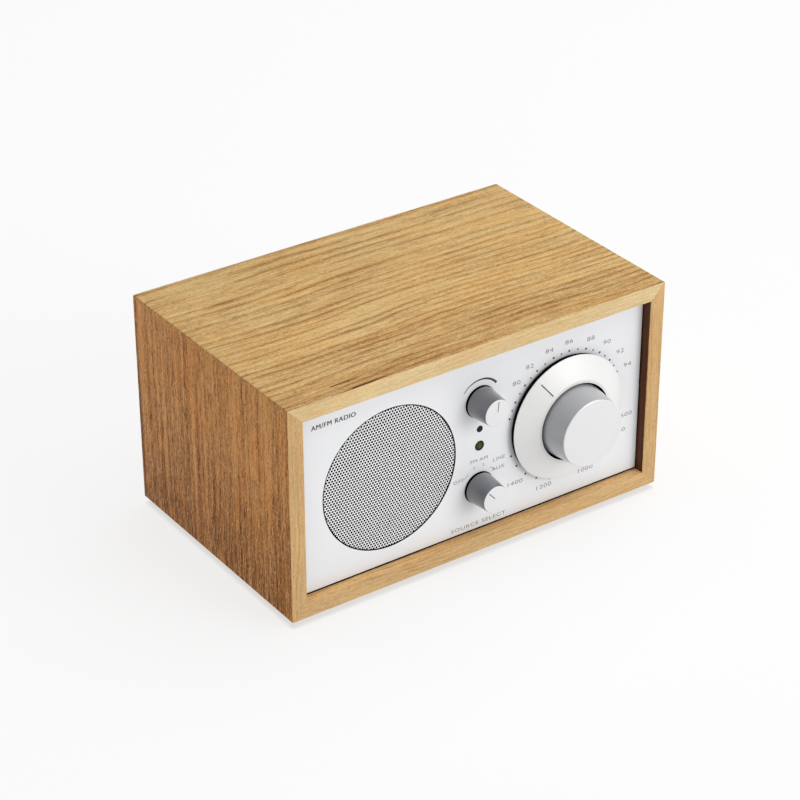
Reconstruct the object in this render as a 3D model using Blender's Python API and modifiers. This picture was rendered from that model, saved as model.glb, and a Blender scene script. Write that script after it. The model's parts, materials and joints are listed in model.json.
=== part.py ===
"""Table radio with a wooden cabinet, as an assembly of separate solids.

The scene is in metres, +Z up, the front facing -Y. The origin lies on the surface that the radio
stands on, in the middle of the whole object's box. Sizes below are millimetres.

Most pieces hang under one empty, front_frame, whose local X runs to the right, local Y runs up
from the underside of the cabinet, and local Z runs out of the front, from the front panel's face.
"""
import math

import bmesh
import bpy

MM = 0.001
GAP = 0.3                        # clearance between pieces that touch on the real object
HUB_GAP = 0.4                    # clearance round the hollow hub, which turns
FULL_TURN = 2 * math.pi

# Cabinet
CABINET_WIDTH = 212.7
CABINET_DEPTH = 133.3
CABINET_HEIGHT = 111.1
BOARD = 8.25                     # thickness of the mitred boards
FOOT_HEIGHT = 3.2
FOOT_RADIUS = 7.0
FOOT_CHAMFER = 0.6
FOOT_INSET = 18.0                # from the cabinet's sides, front and rear to a foot's middle

# Front panel and what sits on it: middles are (right of centre, above the cabinet's underside)
RECESS = 5.2                     # the panel's face lies this far behind the boards' front edges
PANEL_THICKNESS = 2.5
SPEAKER_MIDDLE = (-48.6, 54.4)
GRILLE_RADIUS = 36.25
GRILLE_FRONT = -0.2
GRILLE_THICKNESS = 1.0
DIAL_MIDDLE = (52.0, 54.4)
CONTROL_X = 1.9                  # both small knobs and both lights stand on this line
VOLUME_Y = 78.0
SOURCE_Y = 31.7
POWER_LED = (63.3, 1.6)          # height and radius
TUNING_LED = (54.3, 2.5)

# Loudspeaker, a three inch full-range one; heights are negative behind the panel
BASKET_RADIUS = 39.5
BASKET_BACK = -23.5
BASKET_NECK = 12.3
SURROUND_MIDDLE = (30.6, -4.0)   # radius and height of the half-round roll's middle
CONE_RADIUS = 27.8
COIL_INNER = 10.0
COIL_OUTER = 10.6
COIL_BACK = -27.5
COIL_FRONT = -16.3
SPIDER_HEIGHT = -19.5
TOP_PLATE_FRONT = -23.8
MAGNET_FRONT = -28.1
MAGNET_BACK = -36.1
YOKE_BACK = -40.4
YOKE_RADIUS = 22.0
POLE_RADIUS = 9.2

# Controls
SHAFT_RADIUS = 3.0
BUSHING_RADIUS = 4.0
SMALL_KNOB_RADIUS = 8.1
SMALL_KNOB_FACE_RADIUS = 6.9
SMALL_KNOB_REACH = 13.5
SMALL_KNOB_BASE = 1.1
SMALL_SHAFT_END = 10.4
KNOB_CHAMFER = 0.4
TUNING_KNOB_RADIUS = 19.3
TUNING_KNOB_FACE_RADIUS = 17.4
TUNING_KNOB_REACH = 21.8
TUNING_KNOB_BASE = 3.8
TUNING_KNOB_WALL = 1.8
TUNING_SHAFT_END = 17.0
DIAL_RADIUS = 32.5
DIAL_RIM = 3.1                   # height of the dial's outer edge over the panel
DIAL_LAND = 8.5                   # height of the flat ring around the tuning knob
DIAL_LAND_RADIUS = 21.5
DIAL_HUB_RADIUS = 6.0
DIAL_HUB_END = -9.0
DIAL_BASE = 0.6
DIAL_WELL_FLOOR = 3.2

# Reduction gear: the tuning knob turns the sun, the carrier turns the dial one fifth as far
MODULE = 0.8
SUN_TEETH = 12
PLANET_TEETH = 18
RING_TEETH = SUN_TEETH + 2 * PLANET_TEETH
PLANET_COUNT = 3
BACKLASH = 0.2
GEAR_FRONT = -12.0
GEAR_BACK = -16.0
PIN_RADIUS = 1.5

# Tuning capacitor, behind the gears
CAPACITOR_FRONT = -20.5
CAPACITOR_BACK = -40.5
CAPACITOR_HALF = 15.0
CAPACITOR_WALL = 1.7
ROTOR_RADIUS = 11.0
ROTOR_PLATES = (-27.4, -30.6, -33.8)
ROTOR_PLATE_HALF = 0.4

# Electronics over the cabinet's bottom
BOARD_UNDERSIDE = 14.0
BOARD_TOP = 15.6
SINK_LEFT = 52.0
SINK_RIGHT = 82.0
SINK_HEIGHT = 26.0
FIN_PITCH = 6.0
FIN_THICKNESS = 2.0
FILTER_RADIUS = 9.0
FILTER_LENGTH = 26.0
FERRITE_RADIUS = 5.0
FERRITE_LENGTH = 90.0

# Rear panel
REAR_RECESS = 6.0
REAR_THICKNESS = 3.0
PORT_MIDDLE = (-60.0, 54.4)
PORT_RADIUS = 13.0
PORT_WALL = 1.5
SOCKETS_LOW = 25.0
SOCKETS_HIGH = 80.0
PORT_FLANGE = 3.5
PORT_INNER_END = -75.0
BATTEN = 10.0
SCREW_HEIGHTS = (22.0, 89.0)
SCREW_RADIUS = 1.5
SCREW_HEAD_RADIUS = 3.2
SCREW_HEAD_HEIGHT = 1.6
SWITCH_X = 14.0
SWITCH_SLOT = (6.2, 2.4)         # half the slot's length and height
SLIDER_LENGTH = 5.0

# Worked out from the above
PANEL_BACK = -PANEL_THICKNESS
CABINET_REAR = RECESS - CABINET_DEPTH
FRONT_REACH = TUNING_KNOB_REACH - RECESS
PANEL_WORLD_Y = FRONT_REACH - (CABINET_DEPTH + FRONT_REACH) / 2 + RECESS
REAR_FACE = CABINET_REAR + REAR_RECESS
REAR_INNER = REAR_FACE + REAR_THICKNESS
SUN_PITCH = MODULE * SUN_TEETH / 2
PLANET_PITCH = MODULE * PLANET_TEETH / 2
RING_PITCH = MODULE * RING_TEETH / 2
PLANET_ORBIT = SUN_PITCH + PLANET_PITCH

parts = None
cutters = None


def start_scene():
    """Empties the scene and makes the two collections."""
    global parts, cutters
    for item in list(bpy.data.objects):
        bpy.data.objects.remove(item, do_unlink=True)
    parts = bpy.data.collections.new("table_radio")
    cutters = bpy.data.collections.new("cutters")
    bpy.context.scene.collection.children.link(parts)
    bpy.context.scene.collection.children.link(cutters)


def make_material(name, colour, roughness, metallic=0.0):
    material = bpy.data.materials.new(name)
    material.use_nodes = True
    shader = material.node_tree.nodes["Principled BSDF"]
    shader.inputs["Base Color"].default_value = (*colour, 1.0)
    shader.inputs["Roughness"].default_value = roughness
    shader.inputs["Metallic"].default_value = metallic
    return material


def axis_empty(name, parent, x, y, z=0.0):
    """A named axis: its local Z is the line that pieces under it are turned about."""
    empty = bpy.data.objects.new(name, None)
    parts.objects.link(empty)
    empty.parent = parent
    empty.location = (x * MM, y * MM, z * MM)
    return empty


def adopt(piece, name, parent, material):
    """Names a new object, hangs it under its parent and keeps it in the parts' collection."""
    piece.name = name
    piece.parent = parent
    for collection in list(piece.users_collection):
        collection.objects.unlink(piece)
    parts.objects.link(piece)
    if material is not None:
        piece.data.materials.clear()
        piece.data.materials.append(material)
    return piece


def box(name, parent, low, high, material):
    """A plain block between two corners."""
    bpy.ops.mesh.primitive_cube_add(size=1.0)
    piece = bpy.context.active_object
    piece.scale = [(b - a) * MM for a, b in zip(low, high)]
    bpy.ops.object.transform_apply(location=False, rotation=False, scale=True)
    piece.location = [(a + b) / 2 * MM for a, b in zip(low, high)]
    return adopt(piece, name, parent, material)


def rod(name, parent, radius, low, high, material, middle=(0.0, 0.0), sides=16):
    """A plain cylinder along the parent's Z."""
    bpy.ops.mesh.primitive_cylinder_add(radius=radius * MM, depth=(high - low) * MM, vertices=sides)
    piece = bpy.context.active_object
    piece.location = (middle[0] * MM, middle[1] * MM, (low + high) / 2 * MM)
    return adopt(piece, name, parent, material)


def turned(name, parent, profile, material, steps=20):
    """Turns a profile of (radius, height) points about the parent's Z.

    A profile that starts and ends on the axis stays open there; any other one is closed.
    """
    touches_axis = profile[0][0] == 0 and profile[-1][0] == 0
    count = len(profile)
    edges = [(i, (i + 1) % count) for i in range(count - 1 if touches_axis else count)]
    mesh = bpy.data.meshes.new(name)
    mesh.from_pydata([(r * MM, 0.0, h * MM) for r, h in profile], edges, [])
    piece = bpy.data.objects.new(name, mesh)
    bpy.context.scene.collection.objects.link(piece)
    screw = piece.modifiers.new("turn", "SCREW")
    screw.axis = "Z"
    screw.angle = FULL_TURN
    screw.steps = steps
    screw.render_steps = steps
    screw.use_merge_vertices = True
    screw.merge_threshold = 0.00001
    screw.use_smooth_shade = False
    return adopt(piece, name, parent, material)


def extruded(name, parent, outlines, low, high, material):
    """Extrudes flat outlines along the parent's Z; an outline inside another is a hole."""
    curve = bpy.data.curves.new(name, "CURVE")
    curve.dimensions = "2D"
    curve.fill_mode = "BOTH"
    curve.extrude = (high - low) / 2 * MM
    for outline in outlines:
        spline = curve.splines.new("POLY")
        spline.points.add(len(outline) - 1)
        for point, (x, y) in zip(spline.points, outline):
            point.co = (x * MM, y * MM, 0.0, 1.0)
        spline.use_cyclic_u = True
    piece = bpy.data.objects.new(name, curve)
    bpy.context.scene.collection.objects.link(piece)
    piece.location = (0.0, 0.0, (low + high) / 2 * MM)
    return adopt(piece, name, parent, material)


def combine(piece, tool, operation):
    """Cuts or joins a piece with a hidden tool that hangs under the same parent."""
    parts.objects.unlink(tool)
    cutters.objects.link(tool)
    tool.hide_render = True
    tool.display_type = "WIRE"
    modifier = piece.modifiers.new(operation.lower(), "BOOLEAN")
    modifier.operation = operation
    modifier.solver = "EXACT"
    modifier.object = tool
    return piece


def rectangle(low_x, low_y, high_x, high_y):
    return [(low_x, low_y), (high_x, low_y), (high_x, high_y), (low_x, high_y)]


def circle(radius, middle=(0.0, 0.0), sides=20):
    angles = [FULL_TURN * i / sides for i in range(sides)]
    return [(middle[0] + radius * math.cos(a), middle[1] + radius * math.sin(a)) for a in angles]


def ring(inner, outer, low, high):
    """The profile of a plain ring, clockwise as the turning needs."""
    return [(outer, high), (outer, low), (inner, low), (inner, high)]


def arc(middle, radius, start, end, steps):
    """Points on an arc, angles in degrees."""
    points = []
    for i in range(steps + 1):
        a = math.radians(start + (end - start) * i / steps)
        points.append((middle[0] + radius * math.cos(a), middle[1] + radius * math.sin(a)))
    return points


def involute(angle):
    return math.tan(angle) - angle


def gear_outline(teeth, phase):
    """External teeth with involute flanks; a tooth's middle lies at the angle phase."""
    pitch = MODULE * teeth / 2
    base = pitch * math.cos(math.radians(20))
    tip = pitch + 0.8 * MODULE
    root = pitch - 1.125 * MODULE
    half_at_pitch = (math.pi * MODULE / 2 - BACKLASH) / 2 / pitch
    half_at_base = half_at_pitch + involute(math.radians(20))
    half_at_tip = half_at_base - involute(math.acos(base / tip))
    flank = [(root, half_at_base), (pitch, half_at_pitch), (tip, half_at_tip)]
    points = []
    for i in range(teeth):
        middle = phase + FULL_TURN * i / teeth
        rising = [(radius, middle - half) for radius, half in flank]
        falling = [(radius, middle + half) for radius, half in reversed(flank)]
        points += [(r * math.cos(a), r * math.sin(a)) for r, a in rising + falling]
    return points


def ring_gear_outline():
    """Internal teeth; a tooth's middle lies at angle 0."""
    tip = RING_PITCH - 0.8 * MODULE
    root = RING_PITCH + 1.125 * MODULE
    slope = math.tan(math.radians(20))
    half_at_pitch = (math.pi * MODULE / 2 - BACKLASH) / 2
    flank = [(r, (half_at_pitch + (r - RING_PITCH) * slope) / r) for r in (root, tip)]
    points = []
    for i in range(RING_TEETH):
        middle = FULL_TURN * i / RING_TEETH
        corners = [(r, middle - half) for r, half in flank]
        corners += [(r, middle + half) for r, half in reversed(flank)]
        points += [(r * math.cos(a), r * math.sin(a)) for r, a in corners]
    return points


def make_cabinet(front, base, wood, rubber):
    half = CABINET_WIDTH / 2
    mitre = GAP / math.sqrt(2)
    top = [
        (mitre - half, CABINET_HEIGHT),
        (half - mitre, CABINET_HEIGHT),
        (half - BOARD - mitre, CABINET_HEIGHT - BOARD),
        (BOARD + mitre - half, CABINET_HEIGHT - BOARD),
    ]
    right = [
        (half, CABINET_HEIGHT - mitre),
        (half - BOARD, CABINET_HEIGHT - BOARD - mitre),
        (half - BOARD, BOARD + mitre),
        (half, mitre),
    ]
    outlines = {
        "cabinet_top": top,
        "cabinet_bottom": [(x, CABINET_HEIGHT - y) for x, y in top],
        "cabinet_right": right,
        "cabinet_left": [(-x, y) for x, y in right],
    }
    for name, outline in outlines.items():
        extruded(name, front, [outline], CABINET_REAR, RECESS, wood)
    for side, x in (("left", FOOT_INSET - half), ("right", half - FOOT_INSET)):
        for place, depth in (("front", RECESS - FOOT_INSET), ("rear", CABINET_REAR + FOOT_INSET)):
            axis = axis_empty(f"foot_axis_{place}_{side}", base, x, PANEL_WORLD_Y - depth)
            top_z = FOOT_HEIGHT - GAP
            profile = [(0, top_z), (FOOT_RADIUS, top_z), (FOOT_RADIUS, FOOT_CHAMFER)]
            profile += [(FOOT_RADIUS - FOOT_CHAMFER, 0), (0, 0)]
            turned(f"foot_{place}_{side}", axis, profile, rubber, steps=16)


def panel_outline():
    """The opening between the boards, less a gap all round."""
    half = CABINET_WIDTH / 2 - BOARD - GAP
    return rectangle(-half, BOARD + GAP, half, CABINET_HEIGHT - BOARD - GAP)


def make_front_panel(front, silver, mesh_metal):
    holes = [
        circle(GRILLE_RADIUS + GAP, SPEAKER_MIDDLE, 48),
        circle(DIAL_HUB_RADIUS + HUB_GAP, DIAL_MIDDLE),
        circle(BUSHING_RADIUS + GAP, (CONTROL_X, VOLUME_Y), 16),
        circle(BUSHING_RADIUS + GAP, (CONTROL_X, SOURCE_Y), 16),
        circle(POWER_LED[1] + GAP, (CONTROL_X, POWER_LED[0]), 12),
        circle(TUNING_LED[1] + GAP, (CONTROL_X, TUNING_LED[0]), 12),
    ]
    extruded("front_panel", front, [panel_outline()] + holes, PANEL_BACK, 0.0, silver)
    grille_back = GRILLE_FRONT - GRILLE_THICKNESS
    rod("speaker_grille", front, GRILLE_RADIUS, grille_back, GRILLE_FRONT, mesh_metal, SPEAKER_MIDDLE, sides=48)


def make_speaker(front, colours):
    """A small full-range loudspeaker; its cone, cap and coil slide in the magnet's gap."""
    axis = axis_empty("speaker_axis", front, *SPEAKER_MIDDLE)
    flange = PANEL_BACK - GAP
    basket_profile = [
        (BASKET_RADIUS, flange), (BASKET_RADIUS, -4.3), (35.2, -4.3), (21.2, BASKET_BACK),
        (BASKET_NECK, BASKET_BACK), (BASKET_NECK, -22.2), (20.4, -22.2), (34.0, -4.0), (34.0, flange),
    ]
    basket = turned("speaker_basket", axis, basket_profile, colours["black_metal"], steps=32)
    windows = 3
    for i in range(windows):
        name = f"basket_window_{i + 1}"
        window = box(name, axis, (-60.0, -7.0, -20.0), (60.0, 7.0, -9.0), None)
        window.rotation_euler = (0.0, 0.0, math.pi * i / windows)
        combine(basket, window, "DIFFERENCE")
    surround = arc(SURROUND_MIDDLE, 2.4, 180, 0, 6) + arc(SURROUND_MIDDLE, 1.9, 0, 180, 6)
    turned("speaker_surround", axis, surround, colours["rubber"], steps=32)
    cone = [(CONE_RADIUS, -3.4), (CONE_RADIUS, -4.2), (11.0, -16.0), (11.0, -15.0)]
    turned("speaker_cone", axis, cone, colours["paper"], steps=32)
    cap_radius, cap_middle, cap_thickness = 20.0, -31.8, 0.5
    cap_outer = arc((0.0, cap_middle), cap_radius, 90, 58, 4)
    cap_inner = arc((0.0, cap_middle), cap_radius - cap_thickness, 58, 90, 4)
    cap = [(0, cap_outer[0][1])] + cap_outer[1:] + cap_inner[:-1] + [(0, cap_inner[-1][1])]
    turned("dust_cap", axis, cap, colours["paper"], steps=20)
    turned("voice_coil", axis, ring(COIL_INNER, COIL_OUTER, COIL_BACK, COIL_FRONT), colours["copper"])
    spider = ring(11.0, 21.8, SPIDER_HEIGHT - 0.2, SPIDER_HEIGHT + 0.2)
    turned("speaker_spider", axis, spider, colours["fabric"])
    top_plate = ring(COIL_OUTER + 0.8, YOKE_RADIUS, MAGNET_FRONT + GAP, TOP_PLATE_FRONT)
    turned("speaker_top_plate", axis, top_plate, colours["steel"])
    turned("speaker_magnet", axis, ring(14.0, 24.0, MAGNET_BACK, MAGNET_FRONT), colours["ferrite"])
    yoke_front = MAGNET_BACK - GAP
    yoke = [
        (0, -24.0), (POLE_RADIUS, -24.0), (POLE_RADIUS, yoke_front), (YOKE_RADIUS, yoke_front),
        (YOKE_RADIUS, YOKE_BACK), (0, YOKE_BACK),
    ]
    turned("speaker_yoke", axis, yoke, colours["steel"])


def make_lights(front, colours):
    for name, (height, radius) in (("power_led", POWER_LED), ("tuning_led", TUNING_LED)):
        axis = axis_empty(f"{name}_axis", front, CONTROL_X, height)
        profile = [(0, 0.5), (0.6 * radius, 0.4), (radius, -0.2), (radius, -7.7), (0, -7.7)]
        turned(name, axis, profile, colours["black_plastic"], steps=16)
    low = (CONTROL_X - 8.0, 45.0, -9.2)
    box("indicator_board", front, low, (CONTROL_X + 8.0, 67.0, -8.0), colours["board"])


def make_small_control(front, prefix, height, body_name, body_radius, body_depth, colours):
    """A knob on a shaft, with the electrical part behind the panel and its nut in front."""
    axis = axis_empty(f"{prefix}_axis", front, CONTROL_X, height)
    bore = SHAFT_RADIUS + GAP
    body_front = PANEL_BACK - GAP
    bottom = body_front - body_depth
    bore_floor = bottom + 2.3
    bushing_end, nut_end = 1.8, 1.6
    body = [
        (0, bore_floor), (bore, bore_floor), (bore, bushing_end), (BUSHING_RADIUS, bushing_end),
        (BUSHING_RADIUS, body_front), (body_radius, body_front), (body_radius, bottom), (0, bottom),
    ]
    turned(body_name, axis, body, colours["steel"])
    nut = circle(6.6, sides=6)
    nut_hole = circle(BUSHING_RADIUS + GAP, sides=16)
    extruded(f"{prefix}_nut", axis, [nut, nut_hole], GAP, nut_end, colours["steel"])
    rod(f"{prefix}_shaft", axis, SHAFT_RADIUS, bore_floor + GAP, SMALL_SHAFT_END, colours["steel"])
    recess_radius, recess_floor = 7.0, 4.0
    shaft_hole = SMALL_SHAFT_END + GAP
    knob = [
        (0, SMALL_KNOB_REACH), (SMALL_KNOB_FACE_RADIUS - KNOB_CHAMFER, SMALL_KNOB_REACH),
        (SMALL_KNOB_FACE_RADIUS, SMALL_KNOB_REACH - KNOB_CHAMFER), (SMALL_KNOB_RADIUS, SMALL_KNOB_BASE),
        (recess_radius, SMALL_KNOB_BASE), (recess_radius, recess_floor), (bore, recess_floor),
        (bore, shaft_hole), (0, shaft_hole),
    ]
    turned(f"{prefix}_knob", axis, knob, colours["knob"], steps=28)


def make_tuning(axis, colours):
    """The large hollow knob, its shaft and the sun gear, all on one body."""
    bore = SHAFT_RADIUS + GAP
    inner = TUNING_KNOB_RADIUS - TUNING_KNOB_WALL
    inner_face = TUNING_KNOB_FACE_RADIUS - TUNING_KNOB_WALL
    chamfer = 0.6
    ceiling, sleeve_radius, sleeve_base = 18.6, 7.0, 4.2
    shaft_hole = TUNING_SHAFT_END + GAP
    knob = [
        (0, TUNING_KNOB_REACH), (TUNING_KNOB_FACE_RADIUS - chamfer, TUNING_KNOB_REACH),
        (TUNING_KNOB_FACE_RADIUS, TUNING_KNOB_REACH - chamfer), (TUNING_KNOB_RADIUS, TUNING_KNOB_BASE),
        (inner, TUNING_KNOB_BASE), (inner_face, ceiling), (sleeve_radius, ceiling),
        (sleeve_radius, sleeve_base), (bore, sleeve_base), (bore, shaft_hole), (0, shaft_hole),
    ]
    turned("tuning_knob", axis, knob, colours["knob"], steps=36)
    rod("tuning_shaft", axis, SHAFT_RADIUS, GEAR_BACK - 0.4, TUNING_SHAFT_END, colours["steel"])
    outlines = [gear_outline(SUN_TEETH, 0.0), circle(bore, sides=16)]
    extruded("sun_gear", axis, outlines, GEAR_BACK, GEAR_FRONT, colours["brass"])


def make_dial(axis, colours):
    """The conical dial, the carrier that turns it and the capacitor's rotor, all on one body."""
    well_radius = TUNING_KNOB_RADIUS + 0.6
    bore = SHAFT_RADIUS + HUB_GAP
    dial = [
        (DIAL_LAND_RADIUS, DIAL_LAND), (DIAL_RADIUS - 0.4, DIAL_RIM + 0.1), (DIAL_RADIUS, DIAL_RIM - 0.25),
        (DIAL_RADIUS, DIAL_BASE), (DIAL_HUB_RADIUS, DIAL_BASE), (DIAL_HUB_RADIUS, DIAL_HUB_END),
        (bore, DIAL_HUB_END), (bore, DIAL_WELL_FLOOR), (well_radius, DIAL_WELL_FLOOR), (well_radius, DIAL_LAND),
    ]
    turned("dial_ring", axis, dial, colours["dial"], steps=40)
    carrier_radius = PLANET_ORBIT + PIN_RADIUS + 2.0
    disc = ring(bore, carrier_radius, GEAR_FRONT + 0.7, DIAL_HUB_END - GAP)
    carrier = turned("planet_carrier", axis, disc, colours["steel"], steps=24)
    for i in range(PLANET_COUNT):
        angle = FULL_TURN * i / PLANET_COUNT
        middle = (PLANET_ORBIT * math.cos(angle), PLANET_ORBIT * math.sin(angle))
        pin = rod(f"carrier_pin_{i + 1}", axis, PIN_RADIUS, GEAR_BACK - 0.6, -10.0, None, middle)
        combine(carrier, pin, "UNION")
    plate_front = GEAR_BACK - 0.9
    stub_end = -24.5
    plate = [
        (0, plate_front), (carrier_radius, plate_front), (carrier_radius, plate_front - 1.5),
        (SHAFT_RADIUS, plate_front - 1.5), (SHAFT_RADIUS, stub_end), (0, stub_end),
    ]
    turned("carrier_plate", axis, plate, colours["steel"], steps=24)


def make_gears(axis, colours):
    """The fixed ring gear and the planets; each planet stands on an axis of its own."""
    outlines = [circle(RING_PITCH + 3.8, sides=40), ring_gear_outline()]
    extruded("ring_gear", axis, outlines, GEAR_BACK - 0.2, PANEL_BACK - GAP, colours["white_plastic"])
    for i in range(PLANET_COUNT):
        angle = FULL_TURN * i / PLANET_COUNT
        x, y = PLANET_ORBIT * math.cos(angle), PLANET_ORBIT * math.sin(angle)
        planet_axis = axis_empty(f"planet_axis_{i + 1}", axis, x, y)
        phase = angle + math.pi - math.pi / PLANET_TEETH
        teeth = [gear_outline(PLANET_TEETH, phase), circle(PIN_RADIUS + GAP, sides=16)]
        extruded(f"planet_gear_{i + 1}", planet_axis, teeth, GEAR_BACK, GEAR_FRONT, colours["brass"])


def half_disc(name, parent, radius, low, high):
    """A cylinder cut in half along a plane through its axis."""
    mesh = bpy.data.meshes.new(name)
    shape = bmesh.new()
    bmesh.ops.create_cone(
        shape, cap_ends=True, segments=24, radius1=radius * MM, radius2=radius * MM, depth=(high - low) * MM,
    )
    everything = shape.verts[:] + shape.edges[:] + shape.faces[:]
    cut = bmesh.ops.bisect_plane(shape, geom=everything, plane_co=(0, 0, 0), plane_no=(1, 0, 0), clear_outer=True)
    rim = [item for item in cut["geom_cut"] if isinstance(item, bmesh.types.BMEdge)]
    bmesh.ops.edgenet_fill(shape, edges=rim)
    bmesh.ops.recalc_face_normals(shape, faces=shape.faces[:])
    shape.to_mesh(mesh)
    shape.free()
    piece = bpy.data.objects.new(name, mesh)
    bpy.context.scene.collection.objects.link(piece)
    piece.location = (0.0, 0.0, (low + high) / 2 * MM)
    return adopt(piece, name, parent, None)


def make_tuning_capacitor(axis, colours):
    """An open frame, a comb of fixed plates and a rotor of half discs that turns between them."""
    half, wall = CAPACITOR_HALF, CAPACITOR_WALL
    bore = SHAFT_RADIUS + HUB_GAP
    past = 5.0                       # how far a hidden tool runs past the piece that it cuts
    frame_low = (-half, -half, CAPACITOR_BACK)
    frame = box("capacitor_frame", axis, frame_low, (half, half, CAPACITOR_FRONT), colours["steel"])
    hollow_low = (-half - past, wall - half, CAPACITOR_BACK + wall)
    hollow = box("frame_hollow", axis, hollow_low, (half + past, half + past, CAPACITOR_FRONT - wall), None)
    combine(frame, hollow, "DIFFERENCE")
    frame_bore = rod("frame_bore", axis, bore, CAPACITOR_BACK - past, CAPACITOR_FRONT + past, None)
    combine(frame, frame_bore, "DIFFERENCE")
    rotor = rod("capacitor_rotor", axis, SHAFT_RADIUS, CAPACITOR_BACK - 0.5, -24.8, colours["brass"])
    stator_low = (SHAFT_RADIUS + 2 * GAP, wall - half + GAP, -35.5)
    stator = box("capacitor_stator", axis, stator_low, (14.0, 11.0, -25.5), colours["aluminium"])
    for i, place in enumerate(ROTOR_PLATES):
        low, high = place - ROTOR_PLATE_HALF, place + ROTOR_PLATE_HALF
        combine(rotor, half_disc(f"rotor_plate_{i + 1}", axis, ROTOR_RADIUS, low, high), "UNION")
        slot_low = (0.0, -half - past, low - 2 * GAP)
        slot_high = (ROTOR_RADIUS + 1.0, half + past, high + 2 * GAP)
        combine(stator, box(f"stator_slot_{i + 1}", axis, slot_low, slot_high, None), "DIFFERENCE")


def make_electronics(front, colours):
    """The main board stands over the cabinet's bottom; three larger parts stand on it."""
    board_low = (-25.0, BOARD_UNDERSIDE, -105.0)
    box("main_board", front, board_low, (85.0, BOARD_TOP, -20.0), colours["board"])
    foot = BOARD_TOP + GAP
    sink_rear, sink_front, sink_wall = -98.0, -78.0, 4.0
    sink_high = (SINK_RIGHT, foot + SINK_HEIGHT, sink_front)
    sink = box("heat_sink", front, (SINK_LEFT, foot, sink_rear), sink_high, colours["aluminium"])
    past = 5.0                       # how far a hidden tool runs past the piece that it cuts
    for i in range(int((SINK_RIGHT - SINK_LEFT) / FIN_PITCH)):
        left = SINK_LEFT + 0.75 * FIN_THICKNESS + FIN_PITCH * i
        groove_low = (left, foot - past, sink_rear + sink_wall)
        groove_high = (left + FIN_PITCH - FIN_THICKNESS, foot + SINK_HEIGHT + past, sink_front + past)
        combine(sink, box(f"sink_groove_{i + 1}", front, groove_low, groove_high, None), "DIFFERENCE")
    stand = axis_empty("filter_axis", front, -5.0, foot, -88.0)
    stand.rotation_euler = (-math.pi / 2, 0.0, 0.0)
    rod("filter_capacitor", stand, FILTER_RADIUS, 0.0, FILTER_LENGTH, colours["black_plastic"])
    lying = axis_empty("ferrite_axis", front, 0.0, 90.0, -95.0)
    lying.rotation_euler = (0.0, math.pi / 2, 0.0)
    half = FERRITE_LENGTH / 2
    rod("ferrite_rod", lying, FERRITE_RADIUS, -half, half, colours["ferrite"])


def make_rear(front, colours):
    """The rear panel, screwed to two battens, with the sockets, the aerial switch and the port."""
    half = CABINET_WIDTH / 2 - BOARD - GAP
    batten_middle = half - BATTEN / 2
    port_hole = PORT_RADIUS + PORT_WALL + GAP
    sockets = {
        "power_inlet": (70.0, SOCKETS_LOW, 5.5),
        "line_socket": (-12.0, SOCKETS_LOW, 4.0),
        "headphone_socket": (14.0, SOCKETS_LOW, 4.0),
        "aerial_socket": (-12.0, SOCKETS_HIGH, 4.7),
    }
    slot = SWITCH_SLOT
    holes = [circle(port_hole, PORT_MIDDLE, 28)]
    holes += [circle(radius + GAP, (x, y), 16) for x, y, radius in sockets.values()]
    holes.append(rectangle(SWITCH_X - slot[0], SOCKETS_HIGH - slot[1], SWITCH_X + slot[0], SOCKETS_HIGH + slot[1]))
    screw_places = [(x, y) for x in (-batten_middle, batten_middle) for y in SCREW_HEIGHTS]
    holes += [circle(SCREW_RADIUS + GAP, place, 12) for place in screw_places]
    extruded("rear_panel", front, [panel_outline()] + holes, REAR_FACE, REAR_INNER, colours["black_plastic"])

    batten_high = REAR_INNER + GAP + BATTEN
    for name, sign in (("left_batten", -1), ("right_batten", 1)):
        low_x, high_x = sorted((sign * half, sign * (half - BATTEN)))
        outline = rectangle(low_x, BOARD + GAP, high_x, CABINET_HEIGHT - BOARD - GAP)
        bores = [circle(SCREW_RADIUS + GAP, (sign * batten_middle, y), 12) for y in SCREW_HEIGHTS]
        extruded(name, front, [outline] + bores, REAR_INNER + GAP, batten_high, colours["plain_wood"])
    head = REAR_FACE - GAP
    for i, (x, y) in enumerate(screw_places):
        axis = axis_empty(f"screw_axis_{i + 1}", front, x, y)
        screw = [
            (0, batten_high - 1.0), (SCREW_RADIUS, batten_high - 1.0), (SCREW_RADIUS, head),
            (SCREW_HEAD_RADIUS, head), (SCREW_HEAD_RADIUS, head - SCREW_HEAD_HEIGHT / 2),
            (SCREW_HEAD_RADIUS - 1.0, head - SCREW_HEAD_HEIGHT), (0, head - SCREW_HEAD_HEIGHT),
        ]
        turned(f"rear_screw_{i + 1}", axis, screw, colours["black_metal"], steps=12)

    for name, (x, y, radius) in sockets.items():
        axis = axis_empty(f"{name}_axis", front, x, y)
        turned(name, axis, socket_profile(name, radius), colours["nickel"], steps=18)
    slider_low = (SWITCH_X - slot[0] + GAP, SOCKETS_HIGH - slot[1] + GAP, REAR_FACE - 2.5)
    slider_high = (slider_low[0] + SLIDER_LENGTH, SOCKETS_HIGH + slot[1] - GAP, REAR_INNER + 1.0)
    box("aerial_switch_slider", front, slider_low, slider_high, colours["white_plastic"])

    port_axis = axis_empty("port_axis", front, *PORT_MIDDLE)
    outer = PORT_RADIUS + PORT_WALL
    flange, face = outer + PORT_FLANGE, head - 2.0
    port = [
        (outer, PORT_INNER_END), (outer, head), (flange, head), (flange, face),
        (PORT_RADIUS, face), (PORT_RADIUS, PORT_INNER_END),
    ]
    turned("bass_port", port_axis, port, colours["black_plastic"], steps=24)


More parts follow.
